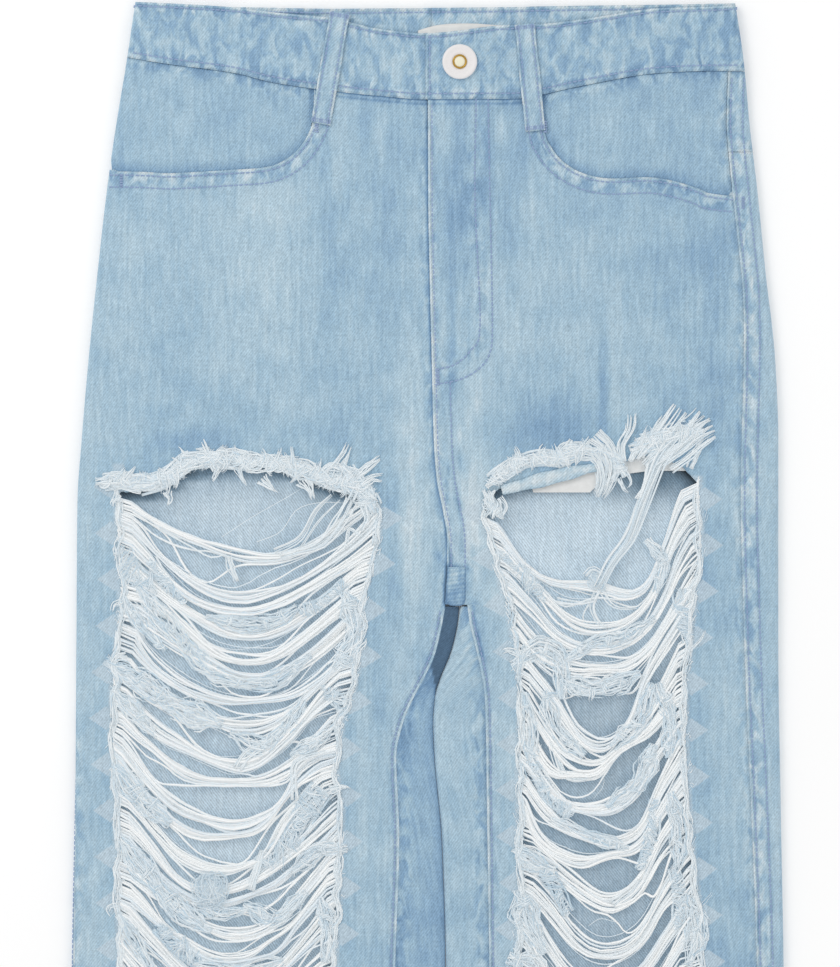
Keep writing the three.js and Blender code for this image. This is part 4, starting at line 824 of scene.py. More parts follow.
def back_columns(side, drop, inner_out):
    """Distances round the cloth from the side seam to a place on the back, for arrays of drops."""
    turn, end, seam = (value[:, None] for value in rounds(side, drop))
    seam, last = seam + SEAM / 2, end + turn - inner_out[:, None]
    stops = ((seam, turn, 6), (turn, end, 8)) if side.hand > 0 else ((seam, end, 5),)
    parts = [mix(a, b, np.linspace(0, 1, count + 1)[:-1]) for a, b, count in stops]
    return np.concatenate([*parts, mix(end, last, np.linspace(0, 1, 35))], 1)


def yoke_line(side, x, on_back):
    return np.where(on_back, mix(YOKE_CENTRE, YOKE_SIDE, np.clip(side.hand * x / 186, 0, 1)), YOKE_SIDE)


def fork_tab():
    """The folded end of the fly's seam, laid over the fork."""
    t, s = np.linspace(0, 1, 30)[:, None], np.linspace(-1, 1, 17)[None, :]
    left, right = mix(10.6, 9.6, t), mix(21.6, 21.2, t)
    x = (left + right) / 2 + (right - left) / 2 * s * np.sqrt(1 - 0.18 * np.clip((t - 0.82) / 0.18, 0, 1) ** 2)
    drop = 338.2 + 23.4 * t - 1.6 * np.clip((t - 0.8) / 0.2, 0, 1) * s ** 4
    edge = np.minimum(np.minimum((1 - np.abs(s)) * 5.4, 23.4 * (1 - t)), 3)
    ripple = np.sin(drop * 2.4 + 2.1 * s + np.sin(drop))
    z = front_height(SIDES[1], x, drop) + 0.2 + 1.5 * np.sqrt(np.clip(edge / 3, 0, 1)) + 0.16 * ripple
    p = np.stack([x, drop, z], -1)
    # Painted shade along the tab's edges and towards its foot, and darker bands with its ripples.
    return shell("fork_tab", [(p, facing(p, -1), unrolled(x, drop))], 1.2, rope=0.4,
                 wear=0.02 - 0.3 * t ** 3 - 0.5 * np.exp(-edge / 0.8) - 0.14 * ripple)


def waist_strip():
    """The white strip that shows between the waistband and its facing."""
    line = smooth_line([(-7.2, 16.2), (-1, 14.2), (6, 12.7), (15, 12.0), (27, 12.0), (39, 12.8), (49, 13.4)], 1.0)
    at, t = np.linspace(0, len(line) - 1, 40)[None, :], np.linspace(0, 1, 5)[:, None]
    x, top = (np.interp(at, np.arange(len(line)), line[:, k]) for k in (0, 1))
    x, drop = x + 0 * t, mix(top, 20.5, t)
    p = np.stack([x, drop, BAND_LIFT + BAND_CLOTH + 1.3 - 0.5 * (1 - t) ** 3 + 0 * x], -1)
    return shell("waist_strip", [(p, facing(p, -1), unrolled(x, drop))], 0.5, cotton("waist_strip", (240, 240, 238)),
                 wear=0.0)


def back_rows(side, nominal, innerf, dropf):
    """Columns and drops of rows whose drops depend on place."""
    drops = np.repeat(nominal[:, None], back_columns(side, nominal, innerf(nominal)).shape[1], 1)
    for _ in range(4):
        around = np.stack([back_columns(side, column, innerf(column))[:, c] for c, column in enumerate(drops.T)], 1)
        p, inward = skin(side, around, drops)
        drops = dropf(p[..., 0], inward[..., 2] > 0.9)
    return around, drops


def back_attributes(side, around, drop, to_inseam=FAR):
    """Rope, rim and row of a back piece."""
    from_seam = around - rounds(side, drop)[2]
    rope = np.maximum(0.5 * (1 - smooth(6, 13, from_seam)), 0.5 * smooth(1034, 1044, drop))
    row = np.minimum(np.minimum(np.abs(from_seam - 2.4), np.abs(from_seam - 9.8)), np.abs(drop - HEM))
    return np.maximum(rope, 0.4 * (1 - smooth(5, 11, to_inseam))), np.minimum(from_seam, LENGTH - drop), row


def back_panel(side):
    """A back: it wraps round the outer fold to the side seam, and on each leg round the inner fold to the inseam."""
    fold = lambda d: (side.fold(np.maximum(d, 362)) + side.rise(d) / 2 - 0.62 * (1 - smooth(700, 900, d)))
    inner = lambda d: np.where(d > FORK + 0.01, fold(d), side.centre("back", d) + SEAM / 2)
    nominal = np.concatenate([np.arange(92, 150, 4.0), np.arange(150, FORK - 2, 6.0), [FORK, FORK + 1.4],
                              np.arange(366, 480, 4.5), np.arange(480, LENGTH - 2, 7.0), [LENGTH]])
    d = nominal[:, None]

    def yoke_drop(x, on_back):
        return d + (yoke_line(side, x, on_back) + SEAM - 92) * (1 - smooth(92, 160, d))

    around, drop = back_rows(side, nominal, inner, yoke_drop)
    n = around.shape[1]
    p, inward = skin(side, around, drop)
    # On the legs: round the inner fold and over to the inseam, 3 mm of it tucked under the front.
    radius, end = side.rise(d) / 2, fold(d)
    a = (-QUARTER + np.linspace(0, 1, 10)[1:] * math.pi)[None, :]
    arc = np.stack([side.hand * (end - radius * np.cos(a)), d + 0 * a, radius * (1 + np.sin(a))], -1)
    arc_in = np.stack([side.hand * np.cos(a) + 0 * d, 0 * a + 0 * d, -np.sin(a) + 0 * d], -1)
    t = np.concatenate([np.linspace(0, 1, 9)[1:], [1, 1]])[None, :]
    inseam = side.inseam(np.maximum(d, 362)) - SEAM / 2
    out = end + (inseam - end) * t + np.concatenate([np.zeros(8), [0.15, 3.0]])
    over = np.stack([side.hand * out, d + 0 * t, 2 * radius + 0.25 * np.sin(d / 23) * np.sin(math.pi * t)], -1)
    p, inward = np.concatenate([p, arc, over], 1), np.concatenate([inward, arc_in, facing(over, -1)], 1)
    drop = np.concatenate([drop, np.repeat(d, 19, 1)], 1)
    steps = np.linalg.norm(np.diff(p[..., [0, 2]], axis=1), axis=2)
    around = np.concatenate([around[:, :1], around[:, :1] + np.cumsum(steps, 1)], 1)
    to_inseam = np.where(drop > FORK, around[:, -3:-2] - around, 200)
    rope, rim, row = back_attributes(side, around, drop, to_inseam)
    x, z = p[..., 0], p[..., 2]
    to_yoke = np.where(drop < 150, drop - yoke_line(side, x, inward[..., 2] > 0.9), 99)
    rope = np.maximum(rope, 0.4 * (1 - smooth(4, 10, to_yoke)))
    ours = smooth(-1, 1, to_inseam) * (z > 0.4 * radius)
    # Painted shade on the back towards the inseam, and on the right leg towards its fold.
    shade = 0.1 - 0.02 * (1 - smooth(2, 30, to_inseam)) * ours
    if side.hand < 0:
        shaded = 0.17 + 0.2 * np.exp(-np.minimum(np.abs(side.hand * x - side.fold(drop)), 99) / 6)
        shade = shade - shaded * (1 - smooth(30, 50, to_inseam)) * ours * (1 - 0.5 * smooth(560, 700, drop))
        # Painted shadow deep between the legs, under the fork.
        low = np.interp(drop, [360, 398, 417], [5.5, 0.6, 4.2])
        high = np.interp(drop, [360, 368, 382, 397, 407, 417], [18.6, 18.0, 16.8, 12.4, 8.4, 4.4])
        shade = shade - 1.5 * ours * smooth(-0.8, 0.8, high - x) * smooth(-0.8, 0.8, x - low) * (
            smooth(-1, 1, 417 - drop) * smooth(-1, 1, drop - 359))
    # A painted shadow along the inseam.
    shade = shade - 0.42 * np.exp(-np.clip(to_inseam, 0, 99) / 2.2) * ours * (drop > FORK)
    # Inside, the back lies in shadow under the head and the sides of the rip.
    head = reach(x, drop, smooth_line(HEAD[side.name], 3))
    low, high = side.rip(drop)
    margin = np.minimum(np.abs(x - low), np.abs(x - high))
    under = np.abs(z) < 3
    hollow = np.maximum(0.62 * bell(head, 3.4), 0.2 * np.exp(-margin / 5)) * under
    hollow = np.clip(hollow + 0.2 * np.exp(-head / 10), 0, 0.7)
    # More painted shade inside each rip: on the left darker in the corner by the head and down its lower part.
    deep = 0.03 * smooth(310, 335, drop)
    if side.hand > 0:
        deep = 0.5 * bell(np.hypot((x - 134) / 28, (drop - 282) / 14), 1) + 0.19 * smooth(375, 415, drop) - 0.05
    hollow = hollow + deep * under * smooth(-6, 0, x - low) * smooth(-6, 0, high - x)
    p, inward, sunk = tucked(side, p, inward, around, drop)
    around, drop = doubled(around), doubled(drop)
    sunk[:, -2:] = [1.0, 1.5]
    keep = np.ones((len(nominal) - 1, around.shape[1] - 1), bool)
    keep[nominal[:-1] < FORK + 0.01, n + 1:] = False
    return shell(f"back_{side.name}_cloth", [(p, inward, unrolled(side.hand * around, drop))], keep=keep, sunk=sunk,
                 wear=doubled(shade), rope=doubled(rope), rim=doubled(np.minimum(rim, to_yoke)),
                 row=doubled(np.minimum(row, np.abs(to_inseam - 99))), hollow=doubled(hollow))


def tucked(side, p, inward, around, drop):
    """Adds two columns that run under the front at the side seam. Also gives how deep all the columns lie."""
    for by in (0.15, 3.0):
        more = skin(side, around[:, :1] - by, drop[:, :1])
        p, inward = np.concatenate([more[0], p], 1), np.concatenate([more[1], inward], 1)
    sunk = np.zeros(p.shape[:2])
    sunk[:, :2] = [1.5, 1.0]
    return p, inward, sunk


def yoke_piece(side):
    t = np.linspace(0, 1, 20)[:, None]

    def drops(x, on_back):
        first = read(BAND, "x", "back", x) + BAND_DEPTH + 2 * SEAM
        if side.hand > 0:
            first = np.where(on_back, first, read(BAND, "x", "bottom", x) + 2 * SEAM)
        return first + (yoke_line(side, x, on_back) - first) * t

    around, drop = back_rows(side, 42 + 60 * t[:, 0], lambda d: side.centre("back", d) + SEAM / 2, drops)
    p, inward = skin(side, around, drop)
    rope, rim, row = back_attributes(side, around, drop)
    line = yoke_line(side, p[..., 0], inward[..., 2] > 0.9) - drop
    rope = np.maximum(rope, 0.5 * (1 - smooth(5, 12, line)))
    row = np.minimum(row, np.minimum(np.abs(line - 2.4), np.abs(line - 8.8)))
    p, inward, sunk = tucked(side, p, inward, around, drop)
    # A margin runs on under the back.
    under = lambda grid: doubled(grid, 0, last=True)
    p, inward, sunk = under(p), under(inward), under(sunk)
    p[-2:, :, 1] += [[0.15], [3]]
    sunk[-2:] = np.maximum(sunk[-2:], [[1.0], [1.5]])
    painted = {"rope": rope, "rim": np.minimum(rim, line), "row": row}
    painted = {key: under(doubled(grid)) for key, grid in painted.items()}
    uv = unrolled(side.hand * under(doubled(around)) + 0.4, p[..., 1])
    return shell(f"yoke_{side.name}_cloth", [(p, inward, uv)], sunk=sunk, wear=0.02, **painted)


def facing_piece(side):
    """The denim behind a pocket opening, sunk under the front and rising to the waistband and the side."""
    opening, rows, flat = side.opening(), np.linspace(0, 1, 34)[:, None], 46
    first, arc = abs(OPENING[side.name][0][0]) - 8, np.zeros(0) if side.hand > 0 else np.linspace(0, 1, 9)[1:]
    drop = np.repeat(36 + 94 * rows, flat + len(arc), 1)
    for _ in range(4):
        turn, _, seam = rounds(side, drop)
        seam = seam - SEAM / 2
        end = np.minimum(turn, seam)
        around = np.concatenate([mix(first, end[:, :flat], np.linspace(0, 1, flat)),
                                 mix(turn[:, flat:], seam[:, flat:], arc)], 1)
        x = side.hand * around
        top = read(BAND, "x", "bottom", x) + 2 * SEAM
        line = np.interp(around, opening[:, 0] * side.hand, opening[:, 1])
        drop = mix(top, np.maximum(line + 8, top + 4), rows)
    away = reach(x, drop, opening)
    above = (drop < line) & (around > abs(opening[0, 0]))
    sunk = (CLOTH + SEAM) * np.where(above, 1 - smooth(0, 7.5, away), 1)
    # A margin tucked under the waistband.
    around, x, drop, away, above, sunk = (doubled(grid, 0) for grid in (around, x, drop, away, above, sunk))
    drop[:2] -= [[4.5], [0.2]]
    sunk[:2] = np.maximum(sunk[:2], [[1.6], [1.0]])
    p, inward = skin(side, around, drop)
    rope = rope_from(x, drop, [(band_foot(), 0.5, 9), (side_line(side, 30, 130), 0.4, 8)])
    # Painted shade: darker under the front and near the pocket opening's edge, and a shadow under the waistband.
    shade = (-0.2 * np.where(above, 1 - smooth(0, 8, away), 1) - 0.02 * side.hand
             - 0.16 * np.exp(-reach(x, drop, band_foot()) / 4))
    uv = unrolled(side.hand * around * 0.99 + 3, drop * 1.01)
    return shell(f"pocket_facing_{side.name}_cloth", [(p, inward, uv)], 0.9, sunk=sunk, wear=shade, rope=rope)


def lap_lift(around):
    """How far the buttoned end of the waistband stands up over the other."""
    return LAP_RISE * (1 - smooth(LAP_FLAT, LAP_FOOT, around))


def band_front(side):
    """One half of the front waistband, lapped at the button."""
    lapped = side.hand > 0
    start, t = LAP_END if lapped else -LAP_UNDER, np.linspace(0, 1, 18)[:, None]
    drop = np.full((18, 84), 20.0)
    for _ in range(4):
        turn, end, _ = rounds(side, drop, BAND_LOFT, BAND_LIFT)
        middle = (turn + end) / 2 - SEAM / 2
        around = np.concatenate([mix(start, turn[:, :78], np.linspace(0, 1, 78)),
                                 mix(turn[:, 78:], middle[:, 78:], np.linspace(0, 1, 7)[1:])], 1)
        x = side.hand * np.minimum(around, 186)
        top, foot = read(BAND, "x", "top", x), read(BAND, "x", "bottom", x) + 0.35
        drop = mix(top, foot, t)
    p, inward = skin(side, around, drop, BAND_LOFT, BAND_LIFT, lap_lift if lapped else None)
    from_top, from_foot = (foot - top) * t, (foot - top) * (1 - t)
    edges = lambda wide: np.exp(-from_top / wide) + np.exp(-from_foot / wide)
    # The seams pucker, and the cloth rolls over its upper and lower edges.
    pucker = 0.22 * np.sin(around / 3.1 + 2.2 * np.sin(around / 17)) * edges(6)
    p[..., 2] += (pucker - 0.55 * edges(0.9)) * (inward[..., 2] < -0.9)
    rope = [0.72 * (1 - smooth(3, 12, from_top)), 0.72 * (1 - smooth(3, 13, from_foot)), np.full(x.shape, 0.36)]
    rim, row = [from_top, from_foot + 2], [np.abs(from_top - 2.4), np.abs(from_foot - 3.0)]
    if lapped:
        from_end = around - LAP_END
        rope.append(0.5 * (1 - smooth(3, 9, from_end)))
        rim.append(np.maximum(from_end, 0))
        row.append(np.abs(from_end - 2.6))
    return shell(f"waistband_front_{side.name}_cloth", [(p, inward, unrolled(side.hand * around, drop - 7))],
                 BAND_CLOTH, wear=-0.06 if lapped else 0.0, rope=np.maximum.reduce(rope),
                 rim=np.minimum.reduce(rim), row=np.minimum.reduce(row))


def band_back():
    """The back waistband, from side to side."""
    grids, t = [], np.linspace(0, 1, 16)[:, None]
    for side in SIDES:
        drop = np.full((16, 66), 20.0)
        for _ in range(4):
            turn, end, _ = rounds(side, drop, BAND_LOFT, BAND_LIFT)
            middle, last = (turn + end) / 2 + SEAM / 2, end + turn - side.hand
            around = np.concatenate([mix(middle[:, :7], end[:, :7], np.linspace(0, 1, 7)),
                                     mix(end[:, 7:], last[:, 7:], np.linspace(0, 1, 60)[1:])], 1)
            p, _ = skin(side, around, drop, BAND_LOFT, BAND_LIFT)
            drop = read(BAND, "x", "back", p[..., 0]) + BAND_DEPTH * t
        p, inward = skin(side, around, drop, BAND_LOFT, BAND_LIFT)
        grids.append((p, inward, unrolled(p[..., 0], drop - 7)))
    edge = BAND_DEPTH * np.minimum(t, 1 - t)
    return shell("waistband_back_cloth", grids, BAND_CLOTH, wear=0.04, inside=0.0, rim=edge,
                 row=np.abs(edge - 2.6), rope=np.maximum(0.75 * (1 - smooth(3, 11, edge)), 0.42))


# The belt loops: X and drop of both ends, and whether it is on the back.
LOOPS = [
    ("belt_loop_front_right", -54, 5.4, -65.6, 72.4, False), ("belt_loop_front_left", 56.8, 12.6, 63.2, 76.6, False),
    ("belt_loop_back_right", -108, 4, -110, 51, True), ("belt_loop_back_centre", 1, 4.4, 1, 51, True),
    ("belt_loop_back_left", 110, 4, 112, 51, True),
]


def loop_height(x, drop, t):
    """Lower height of a front belt loop: over the waistband and down to the front below it."""
    edge = read(BAND, "x", "bottom", x)
    on_band = 1 - smooth(edge + 0.5, edge + 7, drop)
    return mix(HIP_LOFT, BAND_LOFT, on_band) + SEAM + np.where((t > 0.04) & (t < 0.96), 0.35, 0.1)


def loop_path(x0, d0, x1, d1, t, s):
    """X, drop and lower height at a share t along a belt loop and s across it."""
    x, drop, long = mix(x0, x1, t), mix(d0, d1, t), math.hypot(x1 - x0, d1 - d0)
    return x + (d1 - d0) / long * s, drop - (x1 - x0) / long * s, loop_height(x, drop, t)


def belt_loop(name, x0, d0, x1, d1, back):
    half, long = 6.1, math.hypot(x1 - x0, d1 - d0)
    t, s = np.linspace(0, 1, 44)[:, None], np.linspace(-1, 1, 13)[None, :]
    x, drop, low = loop_path(x0, d0, x1, d1, t, half * (1 - 0.03 * np.sin(t * 9)) * s)
    low = 0 * x + (0 if back else low)
    crown = 0.5 * bell(np.abs(s) - 0.35, 0.3) - 0.5 * np.abs(s) ** 8
    ends = 1 - 0.6 * bell(np.minimum(t, 1 - t), 0.012)
    high = low + 1.25 + crown * ends * (0.3 if back else 1)
    p = np.stack([x, drop, low if back else high], -1)
    uv = unrolled(half * s + 0 * t, long * t + 0 * s)
    return shell(name + "_cloth", [(p, facing(p, 1 if back else -1), uv)], 1.2 if back else high - low, wear=0.06,
                 rope=0.5 * s ** 2 + 0.2, rim=half * (1 - np.abs(s)), row=np.abs(half * np.abs(s) - 4.0))


def back_pocket(side):
    t, s = np.linspace(0, 1, 28)[:, None], np.linspace(0, 1, 25)[None, :]
    q, taper = POCKET, 3 * np.clip(t * 1.2, 0, 1)
    inner, outer = q["inner"] + taper, q["outer"] - taper
    out, foot = mix(inner, outer, s), mix(q["point"], q["side"], np.abs(2 * s - 1))
    drop = mix(q["top"], foot, t)
    p = np.stack([side.hand * out, drop, 0 * out], -1)
    away = np.minimum(np.minimum(out - inner, outer - out), foot - drop)
    rope = 0.5 * (1 - smooth(5, 12, np.minimum(away, drop - q["top"])))
    return shell(f"back_pocket_{side.name}_cloth", [(p, facing(p, 1), unrolled(side.hand * out, drop))], 1.2,
                 wear=0.06, rope=rope, rim=away, row=np.minimum(np.abs(away - 2.2), np.abs(away - 8.2)))


# The frayed rips, as (X, drop) in millimetres.
# The middle line of each bundle of yarns, from side to side.
SWAGS = {
    "right": [
        (-187, 296, -162, 310, -138, 322, -114, 330, -90, 332, -66, 323, -51, 309, -35, 298), (-186, 307, -162,
        328, -138, 351, -114, 359, -90, 352, -66, 339, -42, 322, -27, 303), (-185, 316, -168, 335, -144, 357,
        -114, 365, -90, 359, -66, 346, -30, 325), (-183, 334, -168, 349, -138, 369, -114, 380, -90, 376, -66,
        360, -37, 335), (-182, 352, -156, 367, -132, 388, -111, 395, -90, 391, -63, 370, -41, 352), (-182, 361,
        -162, 375, -141, 389, -117, 403, -96, 404, -72, 391, -43, 365), (-181, 373, -168, 395, -144, 412, -114,
        420, -84, 417, -60, 401, -42, 379), (-187, 395, -168, 412, -138, 429, -114, 434, -96, 432, -78, 419,
        -48, 391), (-189, 412, -162, 439, -138, 449, -117, 459, -105, 459, -81, 436, -63, 412, -47, 399), (-190,
        425, -159, 455, -138, 466, -114, 471, -87, 463, -67, 449, -57, 441), (-190, 441, -168, 469, -147, 487,
        -117, 494, -93, 483, -84, 472, -80, 457, -58, 447), (-190, 449, -168, 478, -144, 497, -120, 503, -102,
        496, -87, 478, -58, 454), (-187, 469, -162, 501, -147, 515, -123, 521, -101, 508, -78, 478, -58, 460),
        (-187, 487, -171, 502, -153, 525, -138, 534, -111, 529, -84, 511, -51, 481), (-186, 499, -168, 520,
        -144, 537, -114, 540, -87, 526, -51, 493), (-186, 515, -162, 536, -141, 552, -114, 560, -90, 550, -55,
        508), (-186, 529, -159, 553, -135, 571, -114, 574, -90, 562, -57, 523), (-186, 541, -162, 568, -138,
        589, -114, 592, -90, 580, -55, 538), (-190, 560, -164, 590, -143, 601, -119, 606, -92, 598, -73, 584,
        -57, 576), (-190, 576, -168, 605, -147, 623, -117, 630, -93, 618, -84, 608, -80, 593, -58, 582), (-190,
        586, -163, 615, -139, 634, -115, 640, -97, 633, -82, 615, -58, 591), (-187, 607, -167, 639, -152, 653,
        -128, 659, -106, 646, -83, 616, -58, 598), (-186, 632, -163, 653, -139, 670, -109, 673, -82, 659, -51,
        626), (-186, 651, -167, 672, -146, 687, -119, 689, -95, 686, -55, 644), (-186, 664, -159, 688, -135,
        689, -114, 689, -90, 689, -57, 658),
    ],
    "left": [
        (34, 308, 60, 333, 76, 345, 102, 350, 120, 356, 133, 346, 139, 316, 156, 286), (37, 325, 66, 353, 79,
        369, 96, 377, 117, 373, 135, 352, 145, 322, 160, 298), (42, 343, 63, 364, 78, 382, 102, 388, 126, 379,
        141, 358, 150, 334, 162, 316), (49, 370, 63, 388, 84, 397, 108, 401, 129, 391, 144, 370, 162, 343), (54,
        394, 69, 412, 83, 431, 96, 445, 109, 443, 123, 418, 135, 394, 156, 361), (55, 412, 69, 436, 81, 452, 96,
        459, 114, 451, 132, 427, 152, 388), (55, 430, 66, 454, 75, 464, 87, 467, 105, 459, 132, 435, 152, 412),
        (54, 448, 69, 469, 84, 482, 102, 484, 120, 475, 135, 451, 152, 424), (54, 463, 72, 487, 90, 497, 108,
        505, 126, 499, 138, 472, 154, 445), (55, 478, 63, 502, 78, 512, 96, 515, 123, 507, 139, 484, 155, 463),
        (57, 508, 72, 514, 90, 529, 108, 540, 126, 529, 139, 502, 155, 481), (56, 526, 71, 541, 87, 562, 102,
        571, 123, 565, 141, 538, 159, 514), (55, 538, 69, 562, 84, 583, 102, 592, 126, 583, 144, 556, 162, 532),
        (53, 556, 69, 583, 87, 601, 105, 610, 129, 598, 147, 574, 164, 550), (54, 587, 69, 605, 83, 624, 96,
        638, 109, 636, 123, 611, 135, 587, 156, 554), (55, 605, 73, 629, 85, 645, 100, 652, 118, 644, 136, 620,
        152, 581), (54, 634, 69, 655, 84, 668, 102, 670, 120, 661, 135, 637, 152, 610), (54, 654, 76, 678, 94,
        688, 112, 689, 130, 689, 142, 663, 154, 636), (55, 671, 59, 689, 74, 689, 92, 689, 119, 689, 135, 677,
        155, 656), (57, 689, 72, 689, 90, 689, 108, 689, 126, 689, 139, 687, 155, 666),
    ],
}
# Openings between the yarns: middle, half width, half height and turn in degrees.
WINDOWS = {
    "right": [
        (-125, 301, 55, 15.6, 3), (-135, 338, 37, 7.8, 22), (-78, 341, 24, 3.6, -30), (-105, 372, 6, 1.8, 0),
        (-114, 384, 27, 2.1, 0), (-117, 392, 24, 2.4, 4), (-101, 423, 24, 3.9, -6), (-132, 443, 20, 7.8, 28),
        (-70, 433, 7, 4.2, -40), (-162, 461, 13, 4.8, 48), (-141, 459, 14, 3, 25), (-117, 478, 31, 9, 2), (-136,
        494, 13, 3, 20), (-117, 508, 30, 7.8, 0), (-81, 475, 18, 3, -50), (-167, 492, 4, 3, 0), (-78, 521, 16,
        2.4, -40), (-103, 540, 16, 5.4, -15), (-156, 549, 14, 5.4, 45), (-134, 559, 9, 2.4, 38), (-94, 566, 10,
        4.8, -30), (-168, 451, 5, 4.2, 50), (-146, 387, 8, 2.4, 35), (-151, 523, 8, 2.1, 50), (-180, 305, 5,
        1.5, 20), (-165, 325, 7, 2.4, 50), (-156, 343, 12, 1.8, 40), (-119, 610, 30, 7.8, 2), (-162, 598, 13,
        4.2, 45), (-78, 604, 14, 3, -45), (-114, 648, 27, 6.6, 0), (-132, 628, 16, 3, 20), (-84, 670, 14, 3.6,
        -35), (-156, 670, 12, 3, 40),
    ],
    "left": [
        (79, 317, 38, 21.6, 30), (133, 315, 34, 9, -70), (85, 355, 8, 4.2, 0), (88, 368, 5, 3.6, 0), (110, 365,
        10, 4.8, -8), (76, 369, 11, 3, 52), (102, 424, 22, 18, 0), (90, 459, 12, 3, 12), (87, 471, 14, 7.2, 10),
        (117, 457, 18, 7.8, -52), (96, 494, 20, 5.4, 12), (92, 506, 14, 3, 12), (110, 521, 17, 9, -8), (97, 543,
        5, 3, 20), (103, 554, 8, 5.4, 0), (118, 547, 5, 4.2, -30), (142, 548, 10, 3.6, -72), (69, 575, 5, 3, 0),
        (106, 575, 11, 1.8, 0), (130, 422, 7, 2.4, -60), (102, 622, 20, 15.6, 0), (90, 655, 14, 5.4, 10), (117,
        649, 14, 6, -50), (102, 676, 18, 4.8, 4),
    ],
}
# Fluffy remnants of the warp across the yarns: half width and middle line.
FLUFF = {
    "right": [
        (7.8, -185, 327, -180, 341, -167, 351), (5.4, -130, 369, -111, 372, -93, 371, -83, 365), (6, -173, 353,
        -159, 371, -145, 388, -134, 399), (7.2, -50, 357, -44, 371, -48, 387, -55, 396), (4.2, -78, 365, -65,
        360, -51, 348), (4.8, -134, 401, -114, 408, -93, 406, -75, 394), (7.2, -191, 396, -174, 407, -153, 422,
        -129, 431), (4.8, -187, 415, -177, 425, -167, 437), (4.8, -65, 411, -54, 418, -50, 430), (5.4, -116,
        440, -101, 446, -87, 435, -78, 422), (7.2, -187, 461, -174, 477, -159, 489), (4.2, -80, 449, -68, 443,
        -59, 435), (7.8, -101, 519, -84, 503, -73, 483, -65, 471), (6.6, -183, 505, -167, 525, -149, 545, -135,
        554), (5.4, -108, 543, -91, 549, -78, 536), (4.2, -136, 543, -123, 546, -113, 544), (6, -163, 553, -149,
        567, -137, 575), (4.8, -185, 550, -174, 569, -162, 589), (5.4, -80, 519, -67, 508, -54, 507), (4.2,
        -182, 358, -175, 371, -162, 385), (4.2, -168, 334, -159, 347, -147, 359), (5.4, -65, 541, -60, 556, -62,
        571), (6.6, -186, 589, -168, 607, -144, 628), (7.2, -101, 643, -84, 628, -69, 604), (6, -183, 634, -162,
        658, -138, 676), (5.4, -114, 664, -90, 661, -72, 640), (4.8, -138, 577, -114, 581, -93, 575),
    ],
    "left": [
        (5.4, 42, 329, 55, 342, 69, 358), (4.8, 133, 325, 140, 335, 137, 349), (6.6, 53, 395, 66, 387, 78, 396,
        79, 413), (4.8, 131, 371, 115, 381, 100, 383, 85, 392), (5.4, 149, 352, 152, 368, 155, 383), (6, 82,
        407, 97, 412, 113, 408, 122, 404), (5.4, 70, 417, 76, 436, 89, 449), (6, 132, 412, 126, 431, 113, 444),
        (5.4, 62, 453, 71, 475, 85, 487), (3.6, 77, 491, 100, 501, 115, 506), (5.4, 133, 449, 126, 467, 110,
        480), (7.2, 54, 509, 62, 515, 71, 519), (5.4, 69, 519, 76, 533, 83, 546), (7.8, 54, 536, 59, 553, 67,
        566), (6.6, 155, 540, 160, 556, 156, 573), (8.4, 51, 574, 60, 578, 69, 589), (4.8, 146, 519, 150, 538,
        148, 556), (5.4, 138, 412, 144, 430, 143, 448), (5.4, 145, 478, 150, 496, 149, 515), (4.8, 57, 418, 61,
        436, 60, 454), (4.8, 135, 478, 132, 502, 126, 520), (6, 57, 604, 69, 622, 84, 640), (6.6, 132, 604, 126,
        622, 114, 640), (5.4, 60, 652, 78, 670, 96, 682), (6, 156, 598, 158, 622, 154, 646),
    ],
}
